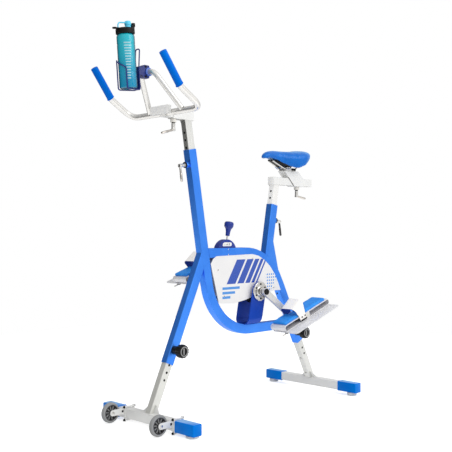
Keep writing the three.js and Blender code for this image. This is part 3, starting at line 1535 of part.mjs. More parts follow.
function bike() {
  const whole = group(
    named('main_tube', mainTube(), finishes.framePaint()),
    named('top_tube', topTubeBody(), finishes.framePaint()),
    named('seat_tube', seatTubeBody(), finishes.framePaint()),
    named('front_leg_sleeve', frontSleeve(), finishes.framePaint()),
    named('crank_bracket', crankBracket(), finishes.framePaint()),
    named('resistance_dome', resistanceDome(), finishes.navy()),
    ...Object.entries(sides).flatMap(([side, sign]) => [
      named(`${side}_bearing_flange`, handed(sign, bearingFlange()), finishes.chrome()),
      named(`${side}_side_panel`, handed(sign, sidePanel()), finishes.panel()),
    ]),
    leverGroup(),
    crankGroup(),
    onFace(
      inSide(mastBossFrom),
      mastForward,
      mastUp.clone().negate(),
      named('mast_clamp_lever', clampHandle(mastClamp.splay), finishes.chrome()),
    ),
    onFace(
      inSide(seatBossFrom),
      seatRearward,
      seatUp.clone().negate(),
      named('seat_clamp_lever', clampHandle(seatClamp.splay), finishes.chrome()),
    ),
    placed(inSide(frontKnobSpot), named('front_leg_knob', roundKnob(), finishes.black())),
    placed(inSide(rearKnobSpot), named('rear_leg_knob', roundKnob(), finishes.black())),
    frontLegGroup(),
    rearLegGroup(),
    mastGroup(),
    seatGroup(),
  );
  whole.updateMatrixWorld(true);
  const bounds = new THREE.Box3().setFromObject(whole, true);
  const middle = bounds.getCenter(point(0, 0, 0));
  whole.position.set(-middle.x, -middle.y, -bounds.min.z);
  return group(whole);
}

export default bike();
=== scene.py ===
# %% [markdown]
# # An exercise bike for the pool
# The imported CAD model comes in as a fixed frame. It has every size and every joint, but its faces are
# plain. This file dresses it: rounded tubes, turned knobs, soft pads, and a finish for each surface.
# A dressed piece stands where its CAD node stands and rides on the same moving body.

# %% Load the frame
import json
import math

import bmesh
import bpy
from mathutils import Matrix, Vector


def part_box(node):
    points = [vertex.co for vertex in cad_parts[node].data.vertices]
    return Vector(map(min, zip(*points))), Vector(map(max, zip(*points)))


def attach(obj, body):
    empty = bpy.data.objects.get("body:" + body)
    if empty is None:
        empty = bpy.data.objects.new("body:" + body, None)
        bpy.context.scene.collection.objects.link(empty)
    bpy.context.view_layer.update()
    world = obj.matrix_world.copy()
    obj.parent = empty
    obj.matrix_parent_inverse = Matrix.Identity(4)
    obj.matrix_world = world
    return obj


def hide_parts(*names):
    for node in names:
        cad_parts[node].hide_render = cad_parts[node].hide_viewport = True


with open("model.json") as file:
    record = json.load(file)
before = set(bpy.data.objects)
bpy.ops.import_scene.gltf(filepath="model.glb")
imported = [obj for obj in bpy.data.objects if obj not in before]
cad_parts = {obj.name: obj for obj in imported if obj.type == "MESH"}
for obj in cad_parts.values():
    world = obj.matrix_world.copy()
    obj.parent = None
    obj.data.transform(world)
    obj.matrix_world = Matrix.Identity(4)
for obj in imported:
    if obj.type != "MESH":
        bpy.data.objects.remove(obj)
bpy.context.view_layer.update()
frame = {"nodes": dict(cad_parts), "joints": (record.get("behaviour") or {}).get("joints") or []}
scene = bpy.context.scene
joints = {joint["name"]: joint for joint in frame["joints"]}

# %% [markdown]
# ## Measures
# The source of the part is written in millimetres along the bike, from the resistance lever's pivot, and
# Blender works in metres from the middle of the footprint. Two small helpers keep the source's numbers
# readable here: `mm` for a length and `at` for a place. A lean is an angle from upright in the side view.

# %% Lengths, places and leans
FOOTPRINT_SHIFT = -10.7285
LEANS = {"mast": 9.8, "seat_mast": -10.3, "front_leg": -24.2, "rear_leg": 27.3}
LEFT, UP = Vector((1, 0, 0)), Vector((0, 0, 1))
SIDES = {"left": 1, "right": -1}


def mm(length):
    return length / 1000


def at(x, y, z):
    """A place on the bike, from the source's millimetres."""
    return Vector((x, y + FOOTPRINT_SHIFT, z)) / 1000


def up_along(lean):
    """Up an axis that leans forward by that many degrees."""
    return Vector((0, -math.sin(math.radians(lean)), math.cos(math.radians(lean))))


def joint_spot(name):
    return Vector(joints[name]["pos_m"])


def ramp(value, low, high):
    """0 at low, 1 at high and a straight rise between them. It falls if low is the larger."""
    return min(max((value - low) / (high - low), 0), 1)


ON_BIKE = Matrix.Translation(at(0, 0, 0))
MIRROR = {side: Matrix.Diagonal((sign, 1, 1, 1)) for side, sign in SIDES.items()}
print("mast leans to", tuple(round(part, 3) for part in up_along(LEANS["mast"])))

# %% [markdown]
# ## Camera
# The camera stands at half the bike's height, in front of its left side, with a fairly long lens. It was
# solved from points of the photograph whose places on the model are known. It looks almost level, which
# keeps upright things upright, so no shift or roll is needed.

# %% Camera
camera = bpy.data.objects.new("camera", bpy.data.cameras.new("camera"))
scene.collection.objects.link(camera)
camera.location = (2.3690, -2.4183, 0.7846)
camera.rotation_euler = Vector((-0.70085, 0.713284, 0.005867)).to_track_quat("-Z", "Y").to_euler()
camera.data.sensor_width = 36
camera.data.lens = 60.8
camera.data.clip_end = 200
scene.camera = camera
scene.view_settings.view_transform = "Standard"
print("camera", tuple(camera.location), "lens", camera.data.lens)

# %% [markdown]
# ## Shader wiring
# Node trees are easier to read as formulas. `Wire` holds one output socket and answers to + - and *, each
# of which adds a Math node. `Nodes` adds any other node in one way: settings first, because some of them
# change the sockets, and then the values or wires of its inputs. `Finish` is a material with its patterns.

# %% Wires and nodes
class Wire:
    """An output socket that Python's signs work on."""

    def __init__(self, nodes, socket):
        self.nodes = nodes
        self.socket = socket

    def maths(self, operation, first, second=0):
        return self.nodes.add("ShaderNodeMath", {"operation": operation}, {0: first, 1: second})

    def __add__(self, other):
        return self.maths("ADD", self, other)

    def __radd__(self, other):
        return self.maths("ADD", other, self)

    def __sub__(self, other):
        return self.maths("SUBTRACT", self, other)

    def __rsub__(self, other):
        return self.maths("SUBTRACT", other, self)

    def __mul__(self, other):
        return self.maths("MULTIPLY", self, other)

    def __rmul__(self, other):
        return self.maths("MULTIPLY", other, self)

    def __abs__(self):
        return self.maths("ABSOLUTE", self)

    def wave(self):
        return self.maths("SINE", self)

    def remainder(self, length):
        """Where it is within a length that repeats, from 0 to that length."""
        return self.maths("FLOORED_MODULO", self, length)

    def most(self, other):
        return self.maths("MAXIMUM", self, other)

    def step(self, low, high):
        """0 below low, 1 above high, and an easy slope between them. It falls if low is the larger."""
        sockets = {"Value": self, "From Min": low, "From Max": high}
        return self.nodes.add("ShaderNodeMapRange", {"interpolation_type": "SMOOTHSTEP"}, sockets)


class Nodes:
    """A node tree and one way to add to it."""

    def __init__(self, owner):
        owner.use_nodes = True
        self.tree = owner.node_tree

    def put(self, node, socket, value):
        if isinstance(value, Wire):
            self.tree.links.new(value.socket, node.inputs[socket])
        else:
            node.inputs[socket].default_value = value

    def add(self, kind, settings=None, sockets=None, output=0):
        node = self.tree.nodes.new(kind)
        for name, value in (settings or {}).items():
            setattr(node, name, value)
        for socket, value in (sockets or {}).items():
            self.put(node, socket, value)
        return Wire(self, node.outputs[output]) if node.outputs else None

    def ray(self, kind):
        """1 for one kind of ray, such as those of the camera, and 0 for all others."""
        return self.add("ShaderNodeLightPath", output=f"Is {kind} Ray")


# %% Finishes
class Finish(Nodes):
    """A material, its Principled shader and its patterns."""

    def __init__(self, slot, name=None, **fixed):
        self.slot = slot
        self.material = bpy.data.materials.new(name or slot)
        super().__init__(self.material)
        self.shader = self.tree.nodes["Principled BSDF"]
        self.feed(**fixed)

    def feed(self, **sockets):
        """Wires or values for the Principled shader, named with underscores."""
        for name, value in sockets.items():
            self.put(self.shader, name.replace("_", " ").title().replace("Ior", "IOR"), value)

    def place(self, turn=(0, 0, 0), stretch=(1, 1, 1), shift=(0, 0, 0)):
        """Object coordinates in metres, moved, turned and stretched as a Mapping node does."""
        spot = self.add("ShaderNodeTexCoord", output="Object")
        turned_by = [math.radians(angle) for angle in turn]
        sockets = {"Vector": spot, "Location": shift, "Rotation": turned_by, "Scale": stretch}
        return self.add("ShaderNodeMapping", {}, sockets)

    def noise(self, scale, detail=2, where=None):
        sockets = {"Vector": where or self.place(), "Scale": scale, "Detail": detail, "Roughness": 0.55}
        return self.add("ShaderNodeTexNoise", {}, sockets)

    def cells(self, scale, feature="F1"):
        sockets = {"Vector": self.place(), "Scale": scale}
        return self.add("ShaderNodeTexVoronoi", {"feature": feature}, sockets)

    def axis(self, name, where=None):
        return self.add("ShaderNodeSeparateXYZ", {}, {0: where or self.place()}, output=name)

    def mix(self, share, first, second):
        return self.add("ShaderNodeMix", {"data_type": "RGBA"}, {0: share, 6: first, 7: second}, output=2)

    def flat_angle(self, low, high, blend=0.5):
        """0 where the surface faces the eye, 1 where it is seen edge on."""
        return self.add("ShaderNodeLayerWeight", {}, {"Blend": blend}, output="Facing").step(low, high)

    def bump(self, height, strength, distance=0.0004):
        sockets = {"Height": height, "Strength": strength, "Distance": distance}
        self.feed(normal=self.add("ShaderNodeBump", {}, sockets))


def colour(red, green, blue):
    """A shader colour from the 0 to 255 numbers of a picture."""
    def light(level):
        share = level / 255
        return share / 12.92 if share <= 0.04045 else ((share + 0.055) / 1.055) ** 2.4
    return (light(red), light(green), light(blue), 1)


print("one shade of blue", tuple(round(part, 3) for part in colour(10, 105, 215)))

# %% [markdown]
# ## Light
# Real studio pictures of bright metal depend on what the metal sees. Here the world is brighter towards
# the bike's left and above and darker towards its right and below, so faces turned left come out clear
# and bright and faces turned forward fall into shade, painted or bare. Rays that mirror off a surface see
# that difference a little stronger than the others do, and the camera sees plain white. One wide soft
# lamp adds crisp highlights on rounded edges. The floor shows white too, but keeps the bike's shadow.

# %% World
SKY_LEVEL, SKY_SLOPE = 0.60, 0.50
MIRROR_SLOPE, MIRROR_DROP, DARKEST = 0.10, 0.08, 0.02
BRIGHT_WAY = Vector((0.78, 0.06, 0.62)).normalized()
WHITE = (1, 1, 1, 1)

scene.world = bpy.data.worlds.new("studio")
sky = Nodes(scene.world)
sky.tree.nodes.clear()
way = sky.add("ShaderNodeTexCoord", output="Generated")
toward = sky.add("ShaderNodeVectorMath", {"operation": "DOT_PRODUCT"}, {0: way, 1: BRIGHT_WAY}, "Value")
level = toward * SKY_SLOPE + SKY_LEVEL + (toward * MIRROR_SLOPE - MIRROR_DROP) * sky.ray("Glossy")
studio = sky.add("ShaderNodeBackground", {}, {"Color": WHITE, "Strength": level.most(DARKEST)})
white = sky.add("ShaderNodeBackground", {}, {"Color": WHITE, "Strength": 1.0})
shown = sky.add("ShaderNodeMixShader", {}, {0: sky.ray("Camera"), 1: studio, 2: white})
sky.add("ShaderNodeOutputWorld", {}, {"Surface": shown})
print("world from", round(SKY_LEVEL - SKY_SLOPE, 2), "to", round(SKY_LEVEL + SKY_SLOPE, 2))

# %% Lamp and floor
FLOOR_GREY, FLOOR_LIFT = (0.78, 0.78, 0.78, 1), 0.62

lamp = bpy.data.objects.new("soft_box", bpy.data.lights.new("soft_box", "AREA"))
lamp.data.shape = "RECTANGLE"
lamp.data.size = 2.2
lamp.data.size_y = 1.6
lamp.data.energy = 28
lamp.location = (2.9, 0.6, 2.7)
lamp.rotation_euler = (Vector((0, 0, 0.7)) - lamp.location).to_track_quat("-Z", "Y").to_euler()
scene.collection.objects.link(lamp)

ground = bmesh.new()
bmesh.ops.create_grid(ground, x_segments=1, y_segments=1, size=2.8)
floor_mesh = bpy.data.meshes.new("floor")
ground.to_mesh(floor_mesh)
floor = bpy.data.objects.new("floor", floor_mesh)
scene.collection.objects.link(floor)
floor.location.z = -0.0005

floor_paper = bpy.data.materials.new("pale_floor")
paper = Nodes(floor_paper)
paper.tree.nodes.clear()
matt = paper.add("ShaderNodeBsdfDiffuse", {}, {"Color": FLOOR_GREY})
white_rays = paper.ray("Camera").most(paper.ray("Glossy")).most(paper.ray("Transmission"))
glow = paper.add("ShaderNodeEmission", {}, {"Strength": white_rays * FLOOR_LIFT})
both = paper.add("ShaderNodeAddShader", {}, {0: matt, 1: glow})
paper.add("ShaderNodeOutputMaterial", {}, {"Surface": both})
floor_mesh.materials.append(floor_paper)
print("lamp", lamp.data.energy, "W, floor", len(floor_mesh.polygons), "face")

# %% [markdown]
# ## Painted and moulded finishes
# Powder coat, moulded plastic and rubber differ less in colour than in how fine their skin is. One recipe
# makes them: a slow cloud drifts between two near shades, and a fine grain drives the roughness and a low
# bump. Each finish then gets its own scale, strength and glossiness. The floor caps also get a painted
# sheen: their colour turns a paler blue where they are seen at a flat angle.

# %% Skin recipe
def between(share, pair):
    """A wire from 0 to 1 stretched over a pair of numbers."""
    return share * (pair[1] - pair[0]) + pair[0]


def skin(slot, base, shade, name=None, rough=(0.3, 0.4), grain=700, relief=0.05, cloud=7, sheen=None,
         **fixed):
    """A paint or plastic with drifting shade and a fine grain."""
    finish = Finish(slot, name, **fixed)
    drift = finish.noise(cloud, 3).step(0.35, 0.68)
    fine = finish.noise(grain)
    tone = finish.mix(drift, colour(*base), colour(*shade))
    # Painted sheen: the colour turns paler where the surface is seen at a flat angle.
    if sheen:
        tone = finish.mix(finish.flat_angle(0.5, 0.85), tone, colour(*sheen))
    finish.feed(base_color=tone, roughness=between(fine, rough))
    finish.bump(fine, relief)
    return finish


frame_paint = skin("frame_paint", (72, 144, 246), (62, 134, 238), rough=(0.34, 0.46), grain=520,
                   metallic=0.92)
# A darker copy of the frame paint for the crank bracket, which is painted shade.
bracket_shaded_paint = skin("frame_paint", (14, 72, 186), (10, 62, 170), "bracket_shaded_paint", rough=(0.34, 0.46),
                     grain=520, metallic=0.3, specular_ior_level=0.3)
# The caps take a painted sheen of pale blue.
cap_blue = skin("cap_plastic", (0, 126, 228), (0, 116, 218), rough=(0.34, 0.46), grain=1300,
                sheen=(150, 200, 250), specular_ior_level=0.4, specular_tint=colour(0, 150, 255))
grip_blue = skin("grip_plastic", (0, 118, 232), (0, 108, 220), rough=(0.5, 0.65), grain=1500, relief=0.15,
                 specular_ior_level=0.4, specular_tint=colour(60, 170, 255))
black_plastic = skin("black_plastic", (9, 9, 10), (15, 15, 16), rough=(0.35, 0.5), grain=1800, relief=0.1,
                     specular_ior_level=0.2)
navy_plastic = skin("navy_plastic", (12, 50, 150), (8, 40, 132), rough=(0.22, 0.34))
cage_blue = skin("navy_plastic", (22, 44, 128), (16, 34, 108), "cage_coat")
# A lighter copy of the clamp's plastic for its barrels, which is a painted highlight.
cage_painted_highlight = skin("navy_plastic", (88, 124, 214), (74, 108, 200), "cage_painted_highlight")
tyre_grey = skin("tyre", (156, 157, 158), (140, 142, 143), rough=(0.7, 0.85), grain=1500, relief=0.2)
wheel_black = skin("wheel_core", (44, 44, 46), (60, 60, 62), rough=(0.4, 0.55), grain=1400)
foot_clear = skin("foot_plastic", (226, 227, 231), (214, 216, 221), rough=(0.35, 0.5))
fin_clear = skin("fin_plastic", (244, 244, 246), (234, 234, 238), rough=(0.22, 0.34), cloud=4, grain=240,
                 relief=0.03, alpha=0.8)
cream = skin("steel", (240, 237, 230), (228, 225, 218), "cream_plastic", rough=(0.4, 0.5))
white_cap = skin("panel_plastic", (243, 243, 241), (232, 232, 230), "white_cap")
ring_grey = skin("chrome", (172, 172, 172), (150, 150, 150), "ring_grey")
spout_plastic = skin("spout_plastic", (100, 222, 255), (88, 212, 250), rough=(0.25, 0.35))
print("finishes so far", len(bpy.data.materials))

# %% [markdown]
# ## Metal finishes
# Brushed stainless steel scatters light along its scratches. Stretched noise makes the scratches: fine
# across the tube and long along it, so each direction of tube has its own turn of the same pattern. The
# pattern drives the roughness and a faint bump, and a slow drift keeps the colour from being even. The
# beams' front faces look into the dark side of the room, so they get a lighter copy of the steel that
# glows faintly in its own colour, which is painted light. The mast post's front gets a darker copy of its
# steel, which is painted shade.

# %% Brushed steel
SCRATCHES = {"X": (14, 900, 900), "Y": (900, 14, 900), "Z": (900, 900, 14)}


def brushed(name, base, shade, metallic=1.0, rough=(0.2, 0.36), along="Z", lean=0.0, slot="steel",
            relief=0.03, painted_glow=0.0):
    """Steel brushed along one way in the side view."""
    # The emission here makes the steel glow in its own colour, which is painted light.
    finish = Finish(slot, name, metallic=metallic, emission_color=colour(*base), emission_strength=painted_glow)
    lines = finish.noise(1.0, 2, finish.place(turn=(lean, 0, 0), stretch=SCRATCHES[along]))
    drift = finish.noise(9).step(0.3, 0.7)
    finish.feed(
        base_color=finish.mix(drift * 0.6 + lines * 0.4, colour(*base), colour(*shade)),
        roughness=between(lines, rough),
    )
    finish.bump(lines, relief, 0.0003)
    return finish


# %% Steel of the posts and bars
mast_steel = brushed("mast_steel", (238, 238, 234), (228, 228, 224), 0.5, lean=-LEANS["mast"])
# Painted shade: a darker copy of the mast steel for the post's front faces.
mast_front_painted_shade = brushed("mast_front_painted_shade", (172, 172, 168), (146, 146, 142), 0.7, (0.28, 0.42),
                           lean=-LEANS["mast"])
front_leg_steel = brushed("front_leg_steel", (228, 228, 222), (216, 216, 210), 0.5, (0.3, 0.45),
                          lean=-LEANS["front_leg"])
rear_leg_steel = brushed("rear_leg_steel", (226, 226, 222), (214, 214, 210), 0.5, (0.3, 0.45),
                         lean=-LEANS["rear_leg"])
seat_steel = brushed("seat_steel", (243, 242, 239), (236, 235, 232), 0.1, (0.36, 0.5),
                     lean=-LEANS["seat_mast"])
beam_steel = brushed("beam_steel", (240, 240, 238), (233, 233, 231), 0.1, (0.34, 0.5), "Y")
# Painted light: a lighter copy of the beam steel that glows faintly, for front faces and the beam plugs.
front_painted_light_steel = brushed("front_painted_light_steel", (250, 249, 246), (244, 243, 240), 0.1, (0.34, 0.5), "X",
                           painted_glow=0.16)
# Painted light: a lighter, less metallic copy of the bar steel for the rear bar.
rear_bar_painted_light_steel = brushed("rear_bar_painted_light_steel", (247, 247, 245), (241, 241, 239), 0.05, (0.42, 0.58), "X",
                         slot="bar_steel")
bar_steel = brushed("bar_steel", (240, 240, 238), (230, 230, 228), 0.25, (0.42, 0.58), "X", slot="bar_steel")
horn_steel = brushed("horn_steel", (240, 238, 233), (230, 228, 224), 0.7, (0.24, 0.34), "X", relief=0.01)
arm_steel = brushed("arm_steel", (226, 225, 222), (214, 213, 210), 0.5, (0.3, 0.42), "Y")
pedal_metal = brushed("pedal_metal", (244, 243, 245), (233, 232, 235), 0.2, (0.35, 0.5), "Y")
inner_steel = brushed("inner_steel", (214, 213, 216), (196, 195, 198), 0.3, along="Y")

# %% Polished steel of the small parts
chrome = brushed("chrome", (222, 220, 216), (206, 204, 200), 1.0, (0.08, 0.16), "X", slot="chrome",
                 relief=0.01)
lever_steel = brushed("lever_steel", (208, 202, 195), (190, 184, 177), 1.0, (0.1, 0.18), slot="chrome",
                      relief=0.01)
dark_steel = brushed("dark_steel", (84, 82, 82), (66, 64, 64), 1.0, (0.2, 0.34), slot="chrome", relief=0.01)
print("finishes so far", len(bpy.data.materials))

# %% [markdown]
# ## Soft finishes
# The saddle's cover is vinyl: a web of fine creases between low pads, which cells of a Voronoi pattern
# give, and a painted sheen: a paler blue where it curves away. The pedal pads are closed foam with small
# open pores. The strap is a coated band, woven, cream outside and blue inside, and it glows faintly in
# its own colour, which is painted light.

# %% Vinyl, foam and webbing
saddle_vinyl = Finish("saddle_vinyl", specular_ior_level=0.6, specular_tint=colour(70, 170, 255),
                      coat_weight=0.4, coat_roughness=0.2)
creases = saddle_vinyl.cells(420, "DISTANCE_TO_EDGE").step(0.0, 0.09)
pores = saddle_vinyl.noise(900)
worn = saddle_vinyl.mix(saddle_vinyl.noise(16, 3).step(0.3, 0.75), colour(0, 98, 194), colour(0, 108, 206))
saddle_vinyl.feed(
    # Painted sheen: the vinyl turns a paler blue where it is seen at a flat angle.
    base_color=saddle_vinyl.mix(saddle_vinyl.flat_angle(0.45, 0.95), worn, colour(84, 168, 244)),
    roughness=0.42 - creases * 0.08 + pores * 0.06,
)
saddle_vinyl.bump(creases * 0.7 + pores * 0.3, 0.07)

pad_foam = Finish("pad_foam")
holes = pad_foam.cells(750).step(0.1, 0.42)
faded = pad_foam.noise(22, 4).step(0.3, 0.7)
pad_foam.feed(
    base_color=pad_foam.mix(faded, colour(24, 138, 236), colour(34, 150, 244)),
    roughness=0.72 - holes * 0.1,
)
pad_foam.bump(holes, 0.3, 0.0005)


def webbing(name, base, shade, gloss):
    """Coated webbing: a fine weave in two directions under a thin skin."""
    # The same value sets the coat and a faint glow in the strap's own colour, which is painted light.
    finish = Finish("strap_web", name, coat_weight=gloss, coat_roughness=0.3, emission_color=base,
                    emission_strength=gloss)
    across_web = (finish.axis("X") * 4200).wave()
    along_web = ((finish.axis("Y") + finish.axis("Z")) * 3000).wave()
    weave = across_web * along_web * 0.5 + 0.5
    finish.feed(
        base_color=finish.mix(weave * 0.5 + finish.noise(40) * 0.5, base, shade),
        roughness=0.62 - weave * 0.1,
    )
    finish.bump(weave, 0.2, 0.0003)
    return finish


strap_outside = webbing("strap_outside", colour(253, 250, 246), colour(246, 242, 237), 0.1)
strap_inside = webbing("strap_inside", colour(8, 60, 156), colour(4, 46, 130), 0.05)
print("finishes so far", len(bpy.data.materials))

# %% [markdown]
# ## Bottle
# The bottle is tinted clear plastic with a printed level gauge. Part of the light passes through, the tint
# drifts a little from foot to neck, and it deepens towards the sides, where more plastic lies in the line
# of sight. The gauge is a stack of bars that widen upwards, drawn from the height along the bottle and the
# angle round it, both worked out from Object coordinates turned to the bottle's lean.

# %% Tinted plastic
BOTTLE_LEAN = 4.6
GAUGE_LOW, GAUGE_HIGH, GAUGE_PITCH, GAUGE_ANGLE = 0.0315, 0.1785, 0.0105, 1.05

bottle_foot = at(0, -541, 1341)
tilt = Matrix.Rotation(math.radians(BOTTLE_LEAN), 4, "X")
bottle_plastic = Finish("bottle_plastic", transmission_weight=0.12, ior=1.45, coat_weight=0.1)
bottle_way = bottle_plastic.place(turn=(-BOTTLE_LEAN, 0, 0), shift=-(tilt.inverted() @ bottle_foot))
bottle_x, bottle_y, height = (bottle_plastic.axis(name, bottle_way) for name in "XYZ")
angle = bottle_x.maths("ARCTAN2", bottle_x, bottle_y * -1)
gauge_bar = abs(height.remainder(GAUGE_PITCH) - GAUGE_PITCH / 2).step(0.0026, 0.0021)
gauge = gauge_bar * (abs(angle - GAUGE_ANGLE) - (0.12 + height * 1.6)).step(0.02, 0.0)
gauge = gauge * height.step(GAUGE_LOW - 0.0001, GAUGE_LOW + 0.0001)
gauge = gauge * height.step(GAUGE_HIGH + 0.0001, GAUGE_HIGH - 0.0001)
tint = bottle_plastic.mix(height.step(0.0, 0.2), colour(4, 156, 200), colour(36, 198, 216))
deep_tint = bottle_plastic.mix(bottle_plastic.flat_angle(0.2, 0.8, 0.4), tint, colour(0, 52, 86))
bottle_plastic.feed(
    base_color=bottle_plastic.mix(gauge * 0.85, deep_tint, colour(196, 236, 242)),
    roughness=bottle_plastic.noise(60) * 0.08 + 0.16,
)
bottle_plastic.bump(bottle_plastic.noise(400), 0.02)
print("finishes so far", len(bpy.data.materials))

# %% [markdown]
# ## Panel print
# The white side panels carry a print. It is a plain one of this file's own: slanting bars that get thinner
# towards the rear, three dashes below them and a field of dots. Each shape is a mask made of soft steps in
# the side view, so its edges stay sharp at any size, and the inks are mixed in through the masks.

# %% Printed panel
EDGE = 0.0005
SLANT, SLANT_START = 0.62, 0.372
DOT_PITCH = 0.014

panel_print = Finish("panel_plastic", coat_weight=0.3, coat_roughness=0.15)
panel_y = panel_print.axis("Y") - mm(FOOTPRINT_SHIFT)
panel_z = panel_print.axis("Z")
slant = panel_y - panel_z * SLANT + SLANT_START


def band(wire, low, high):
    """1 between two values of a wire, with a soft step at each."""
    return wire.step(low - EDGE, low + EDGE) * wire.step(high + EDGE, high - EDGE)


def all_of(masks):
    whole = masks[0]
    for mask in masks[1:]:
        whole = whole.most(mask)
    return whole


bars = [band(slant, start, start + wide) for start, wide in
        ((0.018, 0.056), (0.086, 0.042), (0.138, 0.030), (0.178, 0.020), (0.208, 0.011))]
ink = all_of(bars) * band(panel_z, 0.548, 0.655)
dashes = [abs(panel_z - level).step(0.0060, 0.0053) * band(panel_y, -0.040, reach)
          for level, reach in ((0.530, 0.070), (0.510, 0.040), (0.490, 0.010))]
row = (panel_y + 0.1).remainder(DOT_PITCH) - DOT_PITCH / 2
column = panel_z.remainder(DOT_PITCH) - DOT_PITCH / 2
from_dot = row.maths("SQRT", row * row + column * column)
field = from_dot.step(0.0044, 0.0039) * panel_y.step(0.245, 0.247) * slant.step(0.340, 0.338)
dots = all_of([*dashes, field * band(panel_z, 0.504, 0.588)])
plain = panel_print.mix(panel_print.noise(5).step(0.3, 0.7), colour(243, 241, 240), colour(236, 235, 235))
barred = panel_print.mix(ink, plain, colour(30, 76, 178))
panel_print.feed(
    base_color=panel_print.mix(dots, barred, colour(70, 146, 224)),
    roughness=panel_print.noise(500) * 0.08 + 0.24,
)
panel_print.bump(panel_print.noise(600), 0.04, 0.0003)
print("finishes", len(bpy.data.materials))

# %% [markdown]
# ## Shaping tools
# Four shapes cover most of the bike. `turned` spins a profile about an axis, `rod` follows a bent path,
# `plate` gives a flat outline a thickness, and `block` is a box with eased edges. Each returns a bmesh, so
# that shapes can be moved, painted and gathered into one piece before they become an object.

# %% Small steps that every shape shares
def outward(shape):
    bmesh.ops.recalc_face_normals(shape, faces=shape.faces[:])


def whole_faces(shape, degrees):
    """Joins neighbouring faces that are flat to within an angle."""
    bmesh.ops.dissolve_limit(shape, angle_limit=math.radians(degrees), verts=shape.verts[:],
                             edges=shape.edges[:])


def bevel(shape, geom, reach, segments, affect="VERTICES", clamp=False):
    """Rounds corners or edges by a reach in mm."""
    bmesh.ops.bevel(shape, geom=geom, offset=mm(reach), affect=affect, segments=segments, profile=0.5,
                    material=-1, clamp_overlap=clamp)


def pushed(shape, operator, move, **what):
    """Extrudes faces or edges and moves what grew."""
    grown = operator(shape, **what)["geom"]
    corners = [item for item in grown if isinstance(item, bmesh.types.BMVert)]
    bmesh.ops.translate(shape, verts=corners, vec=move)
    outward(shape)


def smoothed(shape, corners, factor=0.5):
    axes = dict.fromkeys(("use_axis_x", "use_axis_y", "use_axis_z"), True)
    bmesh.ops.smooth_vert(shape, verts=corners, factor=factor, **axes)


def repaint(shape, paint, test=lambda face: True):
    """Gives another finish to the faces that pass a test."""
    for face in shape.faces:
        if test(face):
            face.material_index = paint
    return shape


def lay(shape, place):
    """Moves a shape, and turns its faces back out where the move mirrors it."""
    shape.transform(place)
    if place.determinant() < 0:
        bmesh.ops.reverse_faces(shape, faces=shape.faces[:])
    return shape


def eased(shape, ease, place=None, paint=0):
    """Rounds the sharp edges of a shape, then places and paints it."""
    if ease:
        edges = [edge for edge in shape.edges
                 if len(edge.link_faces) == 2 and edge.calc_face_angle() > math.radians(50)]
        bevel(shape, edges, ease, 2, "EDGES", clamp=True)
    repaint(shape, paint)
    return lay(shape, place) if place is not None else shape


# %% Turned shapes
def facing(spot, way):
    """Places a shape made along +X at a spot, pointing another way."""
    return Matrix.Translation(spot) @ way.to_track_quat("X", "Z").to_matrix().to_4x4()


def turned(profile, spot=None, way=None, steps=48, paint=0):
    """Spins (radius, along, rounding) stations, in mm, about +X. Rounding may be left out."""
    shape = bmesh.new()
    corners = {}
    for station in profile:
        radius, along = station[:2]
        vertex = shape.verts.new((mm(along), 0, mm(radius)))
        if len(station) > 2:
            corners.setdefault(station[2], []).append(vertex)
    shape.verts.ensure_lookup_table()
    for index in range(len(profile) - 1):
        shape.edges.new((shape.verts[index], shape.verts[index + 1]))
    for rounding, group in corners.items():
        bevel(shape, group, rounding, 4)
    bmesh.ops.spin(shape, geom=shape.verts[:] + shape.edges[:], cent=(0, 0, 0), axis=(1, 0, 0),
                   angle=math.tau, steps=steps, use_merge=True)
    bmesh.ops.remove_doubles(shape, verts=shape.verts[:], dist=1e-6)
    outward(shape)
    repaint(shape, paint)
    return lay(shape, facing(spot, way)) if spot is not None else shape


def tube_ring(inner, outer, low, high, ease=0.0, **where):
    """A turned ring of rectangular section, its corners eased."""
    corners = [(inner, low), (outer, low), (outer, high), (inner, high)]
    if ease:
        corners = [(*corner, ease) for corner in corners]
    return turned([*corners, (inner, low)], **where)


# %% Rods
def bent(points, bends, steps):
    """The path's points with an arc of the given reach at each inner corner."""
    path = [points[0]]
    for corner, reach in zip(range(1, len(points) - 1), bends):
        here = points[corner]
        start = here + (points[corner - 1] - here).normalized() * mm(reach)
        end = here + (points[corner + 1] - here).normalized() * mm(reach)
        for step in range(steps + 1):
            share = step / steps
            path.append(start.lerp(here, share).lerp(here.lerp(end, share), share))
    return path + [points[-1]]


def rod(points, radius, bends=(), steps=8, sides=20, ease=0.0, paint=0):
    """A round bar along a bent path, its two ends eased."""
    path = bent(points, bends, steps)
    stations = [(spot, 1.0) for spot in path]
    if ease:
        first, last = (path[1] - path[0]).normalized(), (path[-2] - path[-1]).normalized()
        small, middle = 1 - ease / radius, 1 - 0.3 * ease / radius
        stations = [
            (path[0], small), (path[0] + first * mm(ease * 0.3), middle), (path[0] + first * mm(ease), 1.0),
            *stations[1:-1],
            (path[-1] + last * mm(ease), 1.0), (path[-1] + last * mm(ease * 0.3), middle), (path[-1], small),
        ]
    curve = bpy.data.curves.new("rod_path", "CURVE")
    curve.dimensions = "3D"
    curve.bevel_depth = mm(radius)
    curve.bevel_resolution = (sides - 4) // 2
    curve.use_fill_caps = True
    spline = curve.splines.new("POLY")
    spline.points.add(len(stations) - 1)
    for point, (spot, share) in zip(spline.points, stations):
        point.co = (*spot, 1)
        point.radius = share
    holder = bpy.data.objects.new("rod_path", curve)
    shape = bmesh.new()
    shape.from_mesh(holder.to_mesh())
    holder.to_mesh_clear()
    bpy.data.objects.remove(holder)
    bpy.data.curves.remove(curve)
    bmesh.ops.remove_doubles(shape, verts=shape.verts[:], dist=1e-7)
    outward(shape)
    return repaint(shape, paint)


